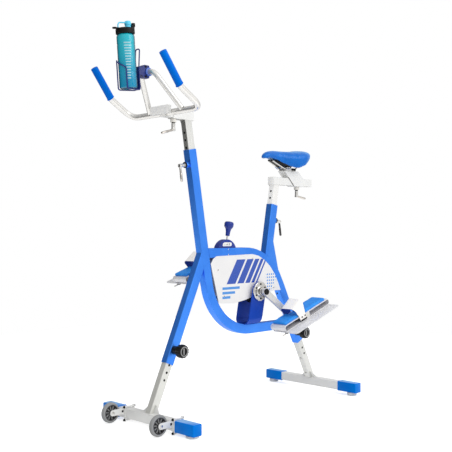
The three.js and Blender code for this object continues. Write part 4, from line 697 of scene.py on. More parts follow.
# %% Plates and blocks
def plate(outline, low, high, corners=None, ease=0.0, place=None, paint=0):
    """A flat outline of (y, z) points in mm, from x low to x high. Corners are roundings by index."""
    shape = bmesh.new()
    spots = [shape.verts.new((mm(low), mm(y), mm(z))) for y, z in outline]
    shape.faces.new(spots)
    groups = {}
    for index, rounding in (corners or {}).items():
        groups.setdefault(rounding, []).append(spots[index])
    for rounding, group in groups.items():
        bevel(shape, group, rounding, 6)
    pushed(shape, bmesh.ops.extrude_face_region, (mm(high - low), 0, 0), geom=shape.faces[:])
    return eased(shape, ease, place, paint)


def block(low, high, ease=0.0, place=None, paint=0):
    """A box between two corners in mm."""
    shape = bmesh.new()
    low, high = Vector(low), Vector(high)
    middle = Matrix.Translation((low + high) / 2000)
    size = Matrix.Diagonal(((high - low) / 1000).to_4d())
    bmesh.ops.create_cube(shape, size=1, matrix=middle @ size)
    return eased(shape, ease, place, paint)


# %% Pieces
def piece(name, shapes, finishes, body, nodes=(), sharp=35, weighted=False):
    """Gathers shapes into one object that rides on a body and stands for CAD nodes."""
    whole = bmesh.new()
    for shape in shapes:
        passing = bpy.data.meshes.new("passing")
        shape.to_mesh(passing)
        whole.from_mesh(passing)
        bpy.data.meshes.remove(passing)
        shape.free()
    for face in whole.faces:
        face.smooth = True
    mesh = bpy.data.meshes.new(name)
    whole.to_mesh(mesh)
    whole.free()
    mesh.set_sharp_from_angle(angle=math.radians(sharp))
    for finish in finishes:
        mesh.materials.append(finish.material)
    thing = bpy.data.objects.new(name, mesh)
    scene.collection.objects.link(thing)
    if weighted:
        thing.modifiers.new("even_shading", "WEIGHTED_NORMAL").keep_sharp = True
    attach(thing, body)
    if nodes:
        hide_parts(*nodes)
    return thing


def dress(node, word, shapes, finishes, body, **rest):
    """A piece that stands for one CAD node and is named after it."""
    return piece(f"{node}_{word}", shapes, finishes, body, [node], **rest)


print("tools ready: turned, rod, plate, block, piece, dress")

# %% [markdown]
# ## Rounded tubes
# Rectangular tube is never sharp at its corners. The CAD copies are softened: the loose triangles are
# merged, the long outer edges between deep faces are found, flat neighbours are dissolved into whole
# faces, and those edges alone get a bevel. Thin rims and holes stay as they are.

# %% Softened copies
def bent_outward(edge, low):
    return len(edge.link_faces) == 2 and edge.is_convex and edge.calc_face_angle() >= math.radians(low)


def reach_of_faces(edge):
    """How far the shallower of the edge's two faces goes from it."""
    along = (edge.verts[1].co - edge.verts[0].co).normalized()
    arms = [vertex.co - edge.verts[0].co
            for face in edge.link_faces for vertex in face.verts if vertex not in edge.verts]
    return min((arm - along * arm.dot(along)).length for arm in arms)


def softened(node, radius, segments=4, deep=3.6, shortest=7.0):
    """A CAD node's copy with its long outer edges rounded, in mm."""
    shape = bmesh.new()
    shape.from_mesh(frame["nodes"][node].data)
    bmesh.ops.remove_doubles(shape, verts=shape.verts[:], dist=1e-5)
    bmesh.ops.dissolve_degenerate(shape, dist=1e-6, edges=shape.edges[:])
    marks = [(edge.verts[0].co + edge.verts[1].co) / 2 for edge in shape.edges
             if bent_outward(edge, 55) and edge.calc_face_angle() < math.radians(125)
             and edge.calc_length() >= mm(shortest) and reach_of_faces(edge) > mm(deep)]
    whole_faces(shape, 0.7)
    chosen = []
    for edge in shape.edges:
        if not bent_outward(edge, 50):
            continue
        start = edge.verts[0].co
        length = edge.calc_length()
        along = (edge.verts[1].co - start) / length
        for mark in marks:
            run = (mark - start).dot(along)
            if 0 < run < length and (mark - start - along * run).length < 2e-5:
                chosen.append(edge)
                break
    if chosen:
        bevel(shape, chosen, radius, segments, "EDGES", clamp=True)
    print(node, "rounded", len(chosen), "edges,", len(shape.faces), "faces")
    return shape


# %% Frame tubes
for node in ("main_tube", "seat_tube", "top_tube", "front_leg_sleeve"):
    dress(node, "coated", [softened(node, 4)], [frame_paint], "frame", weighted=True)
bracket = softened("crank_bracket", 1.2, 2, deep=2.5)
dress("crank_bracket", "coated", [bracket], [bracket_shaded_paint], "frame", weighted=True)

# %% [markdown]
# ## Posts and beams
# The posts, beams and floor bars are softened in the same way. A post and its beam are one node with two
# finishes. Their front faces get painted light and shade: each rule below picks faces by their height and
# their direction and gives them a finish of their own, a darker copy of the steel on the mast post's front,
# which is painted shade, and a lighter copy that glows faintly on the seat post's and slider's fronts,
# which is painted light. A later rule wins over an earlier one. The side panels are softened too, and
# their front edges are drawn forward, less at the top. Dark strips along the carriage's front edges are
# painted shadow gaps. The posts' pin holes are dark discs, painted shade for the holes' dark insides: a
# row of them goes down each post, on its left face or on its front.

# %% Posts, slider, carriage and floor bars
MAST_BEAM_FOOT, SEAT_BEAM_FOOT = 1.2475, 1.0005


def height_of(face):
    return face.calc_center_median().z


RULES = {
    "mast_post": [
        (beam_steel, lambda face: height_of(face) > MAST_BEAM_FOOT),
        # Painted shade on the mast post's front faces.
        (mast_front_painted_shade, lambda face: face.normal.y < -0.9 and height_of(face) < MAST_BEAM_FOOT),
    ],
    "seat_post": [
        (beam_steel, lambda face: height_of(face) > SEAT_BEAM_FOOT),
        # Painted light on the seat post's front faces.
        (front_painted_light_steel, lambda face: face.normal.y < -0.9),
    ],
    # Painted light on the slider's front faces.
    "handlebar_slider": [(front_painted_light_steel, lambda face: face.normal.y < -0.5)],
}

for node, finish, body, radius in (
    ("front_leg_post", front_leg_steel, "front_leg", 3.5),
    ("rear_leg_post", rear_leg_steel, "rear_leg", 3.5),
    ("mast_post", mast_steel, "mast", 3.5),
    ("seat_post", seat_steel, "seat_mast", 3.5),
    ("handlebar_slider", beam_steel, "handlebar", 2.0),
    ("saddle_carriage", beam_steel, "saddle", 2.5),
    ("front_bar", bar_steel, "front_leg", 1.0),
    ("rear_bar", rear_bar_painted_light_steel, "rear_leg", 1.0),
):
    shape = softened(node, radius)
    rules = RULES.get(node, [])
    for paint, (_, test) in enumerate(rules, 1):
        repaint(shape, paint, test)
    finishes = [finish, *(extra for extra, _ in rules)]
    dress(node, "finished", [shape], finishes, body, weighted=True)

# %% Side panels
PANEL_FRONT, PANEL_TOP = mm(-40 + FOOTPRINT_SHIFT), 0.66
for side in SIDES:
    panel = softened(f"{side}_side_panel", 0.8, deep=2.4)
    for vertex in panel.verts:
        below = PANEL_TOP - vertex.co.z
        if vertex.co.y < PANEL_FRONT and below > 0:
            vertex.co.y -= (mm(11) + below * 0.03) * ramp(below, 0, 0.02)
    dress(f"{side}_side_panel", "finished", [panel], [panel_print], "frame", weighted=True)

# %% Dark discs in the posts' pin holes, painted shade
PIN_HOLE_SHADE = [(0, -1.6), (5.2, -1.6), (5.2, 0.1), (0, 0.1)]
for body, way, spots in (
    ("front_leg", LEFT, [(15.05, -343.2, 234), (15.05, -356.3, 205), (15.05, -369.3, 176)]),
    ("rear_leg", LEFT, [(15.05, 520.5, 212), (15.05, 535.4, 183)]),
    ("mast", Vector((0, -0.9854, -0.1702)), [(0, -246.1, 1194.8), (0, -240.7, 1163.8), (0, -235.3, 1132.8)]),
    ("seat_mast", Vector((0, -0.9839, 0.1788)), [(0, 305.3, 970.3), (0, 299.5, 938.3)]),
):
    # Each dark disc is painted shade for a pin hole's dark inside.
    shades = [turned(PIN_HOLE_SHADE, at(*spot), way, 24) for spot in spots]
    piece(f"{body}_pin_hole_shades", shades, [black_plastic], body)

# %% Dark strips on the carriage's front edges as painted shadow gaps, and plugs in the open ends
shadow_gap_outline = [(452.8, 999), (411.5, 1039), (410.7, 1039), (452, 999)]
shadow_gap_strips = [plate(shadow_gap_outline, low, low + 3, place=ON_BIKE) for low in (18, -21)]
piece("carriage_edge_shadow_strips", shadow_gap_strips, [dark_steel], "saddle")
# The saddle beam's plugs take the lighter, glowing steel, which is painted light.
beam_plugs = [block((-15, low, 1003.6), (15, high, 1034.4), 0.8, ON_BIKE)
              for low, high in ((303.6, 309), (587, 592.4))]
piece("saddle_beam_plugs", beam_plugs, [front_painted_light_steel], "seat_mast")
slider_plug = block((-12.3, -216, 1252.7), (12.3, -211.4, 1279.3), 0.8, ON_BIKE)
piece("slider_plug", [slider_plug], [black_plastic], "handlebar")
print("posts, beams and plugs done")

# %% [markdown]
# ## Floor caps and feet
# Each floor bar ends in a blue moulded cap over a pale round foot. The cap is a plate with rounded
# corners and eased rims, and a second, slightly wider plate makes its lip. The feet are turned: a foot's
# flank has three grip rings, which a plain cylinder lacks.

# %% Caps and feet
def square(half):
    return [(-half, -half), (half, -half), (half, half), (-half, half)]


for end, body, y, z, foot_radius, inset in (
    ("front", "front_leg", -434, 32, 26, 28), ("rear", "rear_leg", 610, 38.5, 23, 35),
):
    top = z - 23.3
    foot = [(0, 0.0), (foot_radius * 0.88, 0.0, 1.2)]
    for share in (0.3, 0.52, 0.74):
        foot += [(foot_radius, top * share, 0.5), (foot_radius - 1.2, top * (share + 0.09), 0.4),
                 (foot_radius, top * (share + 0.18), 0.4)]
    foot += [(foot_radius, top - 0.1), (0, top - 0.1)]
    for side, sign in SIDES.items():
        place = Matrix.Translation(at(0, y, z)) @ MIRROR[side]
        cap = plate(square(23), 177, 280, dict.fromkeys(range(4), 5.5), 1.8, place)
        lip = plate(square(23.6), 177.2, 181.5, dict.fromkeys(range(4), 6), 0.8, place)
        dress(f"{side}_{end}_cap", "moulded", [cap, lip], [cap_blue], body)
        standing = turned(foot, at(sign * (280 - inset), y, 0), UP)
        dress(f"{side}_{end}_foot", "moulded", [standing], [foot_clear], body)
print("caps and feet done")

# %% [markdown]
# ## Transport wheels
# Two small wheels let the bike roll when it is tipped. A wheel is a grey tyre over a black core, on an
# axle bolt. The tyre is a spun profile with a crowned tread. The core is a spun rim, hub and thin web, and
# ten grey ribs stand on the web, each an eased block turned round the hub. The bracket is a narrow arm
# with two jaws round the floor bar, which two studs with nuts hold together.

# %% Wheels
TYRE = [(32.2, -9.6, 0.8), (38, -10, 2), (41, -5.6, 2.2), (41, 5.6, 2.2), (38, 10, 2), (32.2, 9.6, 0.8),
        (32.2, -9.6)]
WHEEL_HUB = [(5.4, -8.5), (11, -8.5, 0.8), (11, 8.5, 0.8), (5.4, 8.5), (5.4, -8.5)]
SPOKES = 10


def wheel(side, hub):
    body = f"{side}_wheel"
    dress(f"{body}_tyre", "rubber", [turned(TYRE, hub, LEFT, 64)], [tyre_grey], body)
    rim = tube_ring(27.7, 31.7, -8.5, 8.5, 0.8, spot=hub, way=LEFT, steps=64)
    web = tube_ring(10.5, 28.5, -1.5, 1.5, spot=hub, way=LEFT)
    core = [rim, turned(WHEEL_HUB, hub, LEFT), web]
    for index in range(SPOKES):
        turn = Matrix.Translation(hub) @ Matrix.Rotation(math.tau * (index + 0.25) / SPOKES, 4, "X")
        core.append(block((-6.5, -1.4, 9), (6.5, 1.4, 29), 0.5, turn, paint=1))
    dress(f"{body}_core", "moulded", core, [wheel_black, tyre_grey], body)


# %% Wheel brackets
BRACKET_ARM = [(-454.3, 26), (-454.3, 60), (-462, 58), (-474, 55), (-528, 54.5), (-528, 30.5), (-474, 29.5),
               (-462, 27)]
WHEEL_PIN = [(0, 13.2), (5, 13.2), (5, -10.6), (8, -10.6, 0.6), (8, -14.2, 1), (0, -14.4)]
STUD_NUT = [(0, 0), (5.4, 0, 0.6), (5.4, 4.4, 0.9), (3.4, 4.6), (3.2, 6.8, 0.6), (0, 7)]
AXLE_BOLT = [(0, 0), (7, 0, 0.6), (7, 3.2, 1.2), (2.8, 3.6), (2.6, 2.6), (0, 2.6)]
STUD_HEIGHTS = (5.5, 58.5)


def wheel_bracket(side, hub):
    body = "front_leg"
    beside = Matrix.Translation((hub.x, mm(FOOTPRINT_SHIFT), 0))
    stud_x = hub.x * 1000 + 19.5
    shapes = [plate(BRACKET_ARM, 13, 17, {4: 11.8, 5: 11.8}, 0.8, beside), turned(WHEEL_PIN, hub, LEFT, 32)]
    shapes += [block((13, low, 0), (26, low + 4, 64), 1.2, beside) for low in (-458.3, -413.7)]
    shapes += [rod([at(stud_x, -457, z), at(stud_x, -411, z)], 3.4, sides=16) for z in STUD_HEIGHTS]
    shapes.append(block((16.6, -471, 38), (17.6, -462, 47), 0.3, beside, paint=1))
    dress(f"{side}_wheel_bracket", "welded", shapes, [bar_steel, black_plastic], body)
    nuts = [turned(STUD_NUT, at(stud_x, y, z), Vector((0, way, 0)), 6)
            for z in STUD_HEIGHTS for y, way in ((-458.4, -1), (-409.6, 1))]
    piece(f"{side}_wheel_nuts", nuts, [black_plastic], body, sharp=25)
    axle_bolt = turned(AXLE_BOLT, hub + LEFT * mm(17), LEFT, 32)
    piece(f"{side}_wheel_axle_bolt", [axle_bolt], [chrome], body)


for side in SIDES:
    hub = joint_spot(f"{side}_wheel_spin")
    wheel(side, hub)
    wheel_bracket(side, hub)
print("wheels done")

# %% [markdown]
# ## Leg knobs
# A large round knob pins each leg. Its head is spun, then its rim is drawn in a little between twelve ribs
# so a wet hand can turn it. A grey ring and a grey grip bar lie in the recessed face, and a wide sleeve
# stands between the head and the leg.

# %% Leg knobs
KNOB_HEAD = [(0, 15.5), (5, 15.5), (5, 48), (24, 48, 1.5), (28, 52, 3), (28, 74, 3), (24, 78.8, 1.5),
             (18, 78.8, 0.8), (17, 74, 0.8), (0, 73.4)]
KNOB_RING = [(16.5, 76), (20.5, 76), (20.5, 79.2, 0.5), (16.5, 79.2, 0.5), (16.5, 76)]
KNOB_SLEEVE = [(14.4, 19), (17.5, 19, 0.8), (18.5, 49), (14.4, 49), (14.4, 19)]


def ribbed(shape, spot, way, radius, count, depth):
    """Draws the rim in between ribs."""
    side = way.orthogonal().normalized()
    other = way.cross(side)
    for vertex in shape.verts:
        arm = vertex.co - spot
        across = arm - way * arm.dot(way)
        if across.length > mm(radius):
            turn = math.atan2(across.dot(other), across.dot(side))
            vertex.co -= across.normalized() * mm(depth) * (0.5 - 0.5 * math.cos(turn * count))
    return shape


for end in ("front", "rear"):
    spot = joint_spot(f"{end}_knob_turn")
    head = ribbed(turned(KNOB_HEAD, spot, LEFT, 96), spot, LEFT, 23, 12, 1.5)
    ring = turned(KNOB_RING, spot, LEFT, 64, paint=1)
    bar = block((73, -3, -13), (76.6, 3, 13), 0.8, Matrix.Translation(spot), paint=1)
    sleeve = turned(KNOB_SLEEVE, spot, LEFT)
    piece(f"{end}_knob_moulded", [head, sleeve, ring, bar], [black_plastic, ring_grey], f"{end}_knob",
          [f"{end}_leg_knob"])
print("knobs done")

# %% [markdown]
# ## Clamp levers
# Four levers lock the mast, the seat, the handlebar and the saddle. Each has a chrome hub and a slim arm
# with a round end that can be turned out of the way. The two on the tubes screw in through a knurled
# black nut, the two under the beams through a pale boss with a black neck. The pattern is made once along
# +X and laid at each joint.

# %% Clamp levers
KNURLED_NUT = [(0, -1.8), (4, -1.8), (4, 14.3), (13, 14.3, 1), (13, 20.2, 1), (8.6, 20.8), (0, 20.8)]
PALE_BOSS = [(0, -1.8), (4, -1.8), (4, 0.6), (12.6, 0.6, 0.8), (12.6, 15, 1), (6.6, 15.4), (0, 15.4)]
BLACK_NECK = [(0, 15), (7, 15), (7, 20.8), (0, 20.8)]
LEVER_HUB = [(0, 20), (8.5, 20), (8.5, 21.2, 0.5), (7.6, 22.2), (7.6, 40, 0.6), (8.5, 41, 0.6),
             (8.5, 50.2, 1.6), (3, 50.3, 0.4), (2.6, 49.2), (0, 49.2)]

for name, tube_face, arm_way, splay, arm_finish in (
    ("mast", 21, -up_along(LEANS["mast"]), 1, lever_steel),
    ("seat", 21, -up_along(LEANS["seat_mast"]), 19, dark_steel),
    ("handlebar", 0, Vector((0, -1, 0)), 17, lever_steel),
    ("saddle", 0, Vector((0, 1, 0)), 9, lever_steel),
):
    joint = f"{name}_lever_turn"
    out = Vector(joints[joint]["axis"])
    spot = joint_spot(joint) + out * mm(tube_face)
    if tube_face:
        foot = [ribbed(turned(KNURLED_NUT, spot, out, 72, paint=1), spot, out, 12, 24, 0.7)]
    else:
        foot = [turned(PALE_BOSS, spot, out, 48, paint=3), turned(BLACK_NECK, spot, out, 32, paint=1)]
    hub = turned(LEVER_HUB, spot, out, 40)
    start = spot + out * mm(45)
    turn = math.radians(splay)
    reach = (arm_way * math.cos(turn) + out * math.sin(turn)).normalized()
    arm = rod([start, start + reach * mm(68)], 4.6, ease=3.2, sides=24, paint=2)
    tip = rod([start + reach * mm(30), start + reach * mm(66.6)], 5.2, ease=2.6, sides=24, paint=2)
    piece(f"{name}_lever_cast", [*foot, hub, arm, tip], [chrome, black_plastic, arm_finish, cream],
          f"{name}_lever", [f"{name}_clamp_lever"])
print("levers done")

# %% [markdown]
# ## Handlebar
# One polished tube goes through the slider, out to both sides and up into the grips, and a thinner tube
# makes the loop that carries the bottle. Both are bent where the source has corners, with smooth bends
# and round sections, and the loop's feet are spread as in the photograph. The grips start in the bend and
# end in a rounded cap, with a small flange where they begin.

# %% Horn, loop and grips
HORN_TUBE, LOOP_TUBE, GRIP_TUBE = 12.5, 11, 15
HORN_BEND, GRIP_FOOT, GRIP_TOP = at(215, -352, 1266), at(215, -468, 1336), at(215, -552, 1453)
GRIP_FLANGE = [(13, 0), (16.4, 0, 0.8), (16.4, 3.4, 1.2), (13, 3.6), (13, 0)]
GRIP_CAP = [(0, -1.4), (9.5, -1.4), (9.5, 0.4, 0.5), (0, 0.8)]
grip_up = (GRIP_TOP - GRIP_FOOT).normalized()
horn_half = [HORN_BEND, GRIP_FOOT, GRIP_TOP - grip_up * mm(4)]
horn_points = [Vector((-spot.x, spot.y, spot.z)) for spot in reversed(horn_half)] + horn_half
horn = rod(horn_points, HORN_TUBE, [26, 50, 50, 26], 12, 32)
dress("horn_bar", "polished", [horn], [horn_steel], "handlebar")
loop_points = [at(-94, -352, 1266), at(-40, -450, 1418), at(43, -450, 1418), at(109, -352, 1266)]
loop = rod(loop_points, LOOP_TUBE, [26, 26], 12, 28)
dress("loop_bar", "polished", [loop], [horn_steel], "handlebar")
into = (GRIP_FOOT - HORN_BEND).normalized()
grip_path = bent([GRIP_FOOT - into * mm(30), GRIP_FOOT, GRIP_TOP], [26], 12)[7:]
grip_way = (grip_path[1] - grip_path[0]).normalized()
for side in SIDES:
    sleeve = rod(grip_path, GRIP_TUBE, sides=40, ease=2.6)
    flange = turned(GRIP_FLANGE, grip_path[0], grip_way)
    shapes = [sleeve, flange, turned(GRIP_CAP, GRIP_TOP, grip_up, 40)]
    dress(f"{side}_grip", "foam", [lay(shape, MIRROR[side]) for shape in shapes], [grip_blue], "handlebar")
print("handlebar done")

# %% [markdown]
# ## Bottle and cage
# The bottle stands in a cage of bent wire that a clamp holds to the loop. The wire's two halves go round
# the bottle's front and down under its foot, and their rear ends lean back above the clamp. The clamp is a
# stepped C in the side view. The bottle is turned with two waists, its collar has fine ribs, an ear and a
# latch, and the spout's cap hangs on a tether loop.

# %% Wire cage
bottle_place = Matrix.Translation(bottle_foot) @ tilt


def in_bottle(x, y, z):
    """A place in the bottle's own axes, in mm from its foot."""
    return bottle_place @ (Vector((x, y, z)) / 1000)


CAGE_CLEAR, CAGE_REAR, CAGE_FLOOR, CAGE_LOW, WIRE = 40.68, 47.9, -3.4, 95, 2.6
wires = []
for sign, top in ((1, 78), (-1, 112)):
    front = [(0, CAGE_LOW), (0.5, (CAGE_LOW + top) / 2), (1, top), (1, CAGE_FLOOR)]
    half_wire = []
    for share, level in front:
        turn = share * math.pi / 4
        half_wire.append(in_bottle(sign * CAGE_CLEAR * math.sin(turn), -CAGE_CLEAR * math.cos(turn), level))
    half_wire += [in_bottle(sign * x, CAGE_REAR + back, level)
                  for x, back, level in ((12, 0, CAGE_FLOOR), (12, 0, 84), (12, 9, 158), (-2.6, 9, 158))]
    wires.append(rod(half_wire, WIRE, [6, 6, 10, 10, 8, 9], 6, 14))
rear_plate = block((-12, CAGE_REAR - 1.5, CAGE_FLOOR), (12, CAGE_REAR + 1.5, 77), 0.8, bottle_place)

# %% Cage clamp
LOOP_Y, LOOP_Z, BORE = -450, 1418, 11.3
CLAMP_SCREW = [(0, 0), (4.4, 0, 0.4), (4.4, 2.6, 0.8), (1.8, 2.8), (1.8, 1.4), (0, 1.4)]
CLAMP_BARREL = [(11.2, 12), (17, 12, 1), (17, 17, 2), (11.2, 17.4), (11.2, 12)]
arc = [(LOOP_Y - BORE * math.sin(math.radians(turn)), LOOP_Z + BORE * math.cos(math.radians(turn)))
       for turn in range(0, 181, 12)]
clamp_outline = [(-499.3, 1434), (-482, 1434), (-474, 1444), (-447, 1444), (-445, 1429.3), *arc,
                 (-445, 1406.7), (-447, 1392), (-474, 1392), (-482, 1402), (-499.3, 1402)]
clamp = plate(clamp_outline, -12, 12, dict.fromkeys((2, 3, 22, 23), 4), place=ON_BIKE)
screws = [turned(CLAMP_SCREW, at(12, -466, z), LEFT, 32, paint=1) for z in (1438, 1398)]
# The barrels are real bosses, coloured with a painted highlight of light blue.
barrels = [turned(CLAMP_BARREL, at(0, LOOP_Y, LOOP_Z), LEFT * sign, paint=2) for sign in (1, -1)]
dress("bottle_cage", "coated", [*wires, rear_plate, clamp, *screws, *barrels],
      [cage_blue, black_plastic, cage_painted_highlight], "handlebar")

# %% Bottle, collar and spout
BOTTLE = [(0, 3.5), (24, 3), (27, 0, 1.2), (32, 0, 2.5), (35.3, 5, 3), (35.3, 60, 1.5), (34.5, 62, 1),
          (34.5, 64, 1), (35.3, 66, 1.5), (35.3, 168, 1.5), (34.5, 170, 1), (34.5, 172, 1), (35.3, 174, 1.5),
          (35.3, 204, 4), (30, 210.5, 1), (0, 210.5)]
COLLAR = [(0, 211.3), (36, 211.3, 0.6), (37.5, 212.6, 0.6), (37.5, 229, 1.5), (34.5, 233.2, 1.2),
          (20, 233.3, 0.5), (19, 232.6), (0, 232.6)]
EYE = [(3.4, 228), (8.4, 228, 0.8), (8.4, 233.4, 0.8), (3.4, 233.4), (3.4, 228)]
SPOUT = [(0, 233.9), (12.5, 233.9), (12.5, 240, 0.6), (11.3, 241.5, 0.6), (11.3, 247, 0.6), (13, 248.5, 0.6),
         (13, 260.9, 3), (9.5, 263.9, 1), (0, 263.9)]

bottle_up = (in_bottle(0, 0, 100) - bottle_foot).normalized()
dress("bottle", "tinted", [turned(BOTTLE, bottle_foot, bottle_up, 72)], [bottle_plastic], "bottle_unit")
collar = ribbed(turned(COLLAR, bottle_foot, bottle_up, 120), bottle_foot, bottle_up, 36.8, 40, 0.5)
ear_bar = block((-8, -52, 228.4), (8, -31.5, 233.2), 1.6, bottle_place)
eye = lay(turned(EYE, Vector((0, mm(-51.5), 0)), UP, 36), bottle_place)
stem = block((-9, 30, 232.3), (9, 42, 250.3), 1.8, bottle_place)
lip = block((-9, 34, 242.3), (9, 46, 258.3), 2.4, bottle_place)
dress("bottle_collar", "moulded", [collar, ear_bar, eye, stem, lip], [black_plastic], "bottle_unit")
spout_head = turned(SPOUT, in_bottle(0, 15, 0), bottle_up)
tether = rod([in_bottle(0, 4, 256.6), in_bottle(0, -34, 254), in_bottle(0, -34, 233.7)], 2.6, [14], 10, 14)
dress("spout_cap", "moulded", [spout_head, tether], [spout_plastic], "bottle_unit")
print("bottle done")

# %% [markdown]
# ## Crank
# The crank runs in two flanges on the bracket. A flange is a turned disc with a stepped hub and six bolts.
# An arm's outline is the hull of two circles, thickened and eased, which keeps its flanks straight and its
# ends round. The drum, the axle and the end caps are turned in one profile.

# %% Flanges and axle
FLANGE = [(10.4, 40.3), (43, 40.3, 0.5), (44, 41.5, 0.8), (44, 47, 1), (42, 48.3, 0.6), (24, 48.3, 0.6),
          (22, 49.8, 0.6), (18, 50.4, 0.6), (18, 61, 1), (10.4, 62), (10.4, 40.3)]
FLANGE_BOLT = [(0, 47.8), (4, 47.8), (4, 50.6, 0.6), (1.8, 50.8), (1.7, 49.9), (0, 49.9)]
FLANGE_BOLTS, BOLT_CIRCLE = 6, 33

axle_spot = joint_spot("crank_spin")
for side, sign in SIDES.items():
    out = LEFT * sign
    shapes = [turned(FLANGE, axle_spot, out, 64)]
    for index in range(FLANGE_BOLTS):
        turn = math.tau * (index + 0.5) / FLANGE_BOLTS
        spot = axle_spot + Vector((0, math.cos(turn), math.sin(turn))) * mm(BOLT_CIRCLE)
        shapes.append(turned(FLANGE_BOLT, spot, out, 20, paint=1))
    # Two dark rings on the hub are painted shade for its grooves.
    for start in (52.5, 56):
        groove_shade_ring = [(17.6, start), (18.4, start, 0.2), (18.4, start + 1.8, 0.2), (17.6, start + 1.8)]
        shapes.append(turned(groove_shade_ring, axle_spot, out, paint=1))
    dress(f"{side}_bearing_flange", "turned", shapes, [chrome, black_plastic], "frame")
half = [(52, 15), (10, 15), (10, 65.6), (8, 65.6), (8, 81.4), (14, 81.4, 0.8), (14, 88.3, 2.2),
        (5, 88.3, 0.4), (4.4, 87), (0, 87)]
other = [(station[0], -station[1], *station[2:]) for station in reversed(half)]
axle = turned([*other, (55, -12), (55, 12), *half], axle_spot, LEFT, 64)
dress("crank_axle", "turned", [axle], [black_plastic], "crank")

# %% Crank arms
CRANK_LENGTH, CRANK_ANGLE = 191, -34.4
SPINDLE = [(0, 80), (11, 80), (11, 83.5, 0.6), (8, 84), (8, 188), (6.5, 188.5), (0, 188.5)]


def hull_arm(length, big, small, low, high, place):
    """A bar whose outline is the hull of two circles."""
    shape = bmesh.new()
    for y, radius in ((0, big), (length, small)):
        spot = Matrix.Translation((mm(low), mm(y), 0)) @ Matrix.Rotation(math.radians(90), 4, "Y")
        bmesh.ops.create_circle(shape, segments=40, radius=mm(radius), matrix=spot)
    for vertex in list(shape.verts):
        shape.verts.new(vertex.co + LEFT * mm(high - low))
    bmesh.ops.convex_hull(shape, input=shape.verts[:])
    whole_faces(shape, 1)
    loose = [vertex for vertex in shape.verts if not vertex.link_faces]
    bmesh.ops.delete(shape, geom=loose, context="VERTS")
    outward(shape)
    return eased(shape, 1.8, place)


for side, angle in (("left", CRANK_ANGLE), ("right", CRANK_ANGLE + 180)):
    place = Matrix.Translation(axle_spot) @ Matrix.Rotation(math.radians(angle), 4, "X") @ MIRROR[side]
    bar = hull_arm(CRANK_LENGTH, 16, 13, 66, 81, place)
    spindle = turned(SPINDLE, place @ Vector((0, mm(CRANK_LENGTH), 0)), LEFT * SIDES[side], 40)
    dress(f"{side}_crank_arm", "forged", [bar, spindle], [arm_steel], "crank")
print("crank done")

# %% [markdown]
# ## Pedals
# A pedal is a long flat loop of sheet metal with a bearing block in its middle, two foam pads on top, a
# strap over the foot and a clear fin clipped underneath that pushes against the water. Each is made in
# the pedal's own axes, x across, y along and z up, and laid at the spindle with the pedal's pitch. The
# loop's inner faces lie in its own shade, so they get a darker steel.

# %% Pedal loops
PEDAL_PITCH = 18.3
PEDAL_LONG, PEDAL_WIDE, PEDAL_HIGH, SHEET = 335, 85, 28, 3
PEDAL_RIBS = (-163, -160, 151, 155, 159)
CLIP_STEM = [(0, 0), (7, 0), (7, 6, 0.8), (9.5, 7.5, 0.8), (9.5, 13.6, 1.2), (0, 14)]
pitch = Matrix.Rotation(math.radians(PEDAL_PITCH), 4, "X")
pedal_place = {side: Matrix.Translation(joint_spot(f"{side}_pedal_spin")) @ pitch @ MIRROR[side]
               for side in SIDES}


def loop_of_sheet():
    """The pedal's rounded loop. Solidify grows outwards here, so the loop is drawn back to its size."""
    shape = bmesh.new()
    y, z = PEDAL_LONG / 2, PEDAL_HIGH / 2
    corners = [shape.verts.new((mm(-PEDAL_WIDE / 2), mm(y * right), mm(z * up)))
               for right, up in ((-1, -1), (1, -1), (1, 1), (-1, 1))]
    for index in range(4):
        shape.edges.new((corners[index], corners[(index + 1) % 4]))
    bevel(shape, corners, 12, 8)
    pushed(shape, bmesh.ops.extrude_edge_only, (mm(PEDAL_WIDE), 0, 0), edges=shape.edges[:])
    bmesh.ops.solidify(shape, geom=shape.faces[:], thickness=mm(SHEET))
    if min(vertex.co.z for vertex in shape.verts) < mm(-z - 0.1):
        back = (1, PEDAL_LONG / (PEDAL_LONG + 2 * SHEET), PEDAL_HIGH / (PEDAL_HIGH + 2 * SHEET))
        bmesh.ops.scale(shape, vec=back, verts=shape.verts[:])
    outward(shape)
    return eased(shape, 0.7)


def looks_inward(face):
    middle, normal = face.calc_center_median(), face.normal
    return abs(normal.x) < 0.5 and (middle.z * normal.z < 0 or middle.y * normal.y < 0)


for side, place in pedal_place.items():
    sheet_loop = lay(repaint(loop_of_sheet(), 3, looks_inward), place)
    bearing = block((-42.3, -15, -12.2), (42.3, 15, 12.2), 1.5, place, paint=1)
    ribs = [block((-40, y - 0.9, 13.8), (40, y + 0.9, 14.4), 0.2, place) for y in PEDAL_RIBS]
    clip_stem = lay(turned(CLIP_STEM, Vector((30, -148, -14)) / 1000, -UP, 32, paint=2), place)
    clip_lever = block((26, -178, -28), (34, -146, -24.4), 1.2, place, paint=1)
    dress(f"{side}_pedal", "loop", [sheet_loop, bearing, *ribs, clip_stem, clip_lever],
          [pedal_metal, cream, black_plastic, inner_steel], f"{side}_pedal_unit")
print("pedal loops done")

# %% [markdown]
# ## Soft pads
# A foam pad is crowned on top and its sides bulge between its corners. The way used here is to start from
# a slightly small block with rounded corners, remesh it into even squares, and let Blender's cloth swell
# it under pressure, with a cap on how far any point may go. Its foot is kept flat where it rests.

# %% Swelling by cloth
LAST_MOMENT = 20


def held_mesh(thing):
    """The object's mesh as its modifiers show it."""
    bpy.context.view_layer.update()
    return bpy.data.meshes.new_from_object(thing.evaluated_get(bpy.context.evaluated_depsgraph_get()))


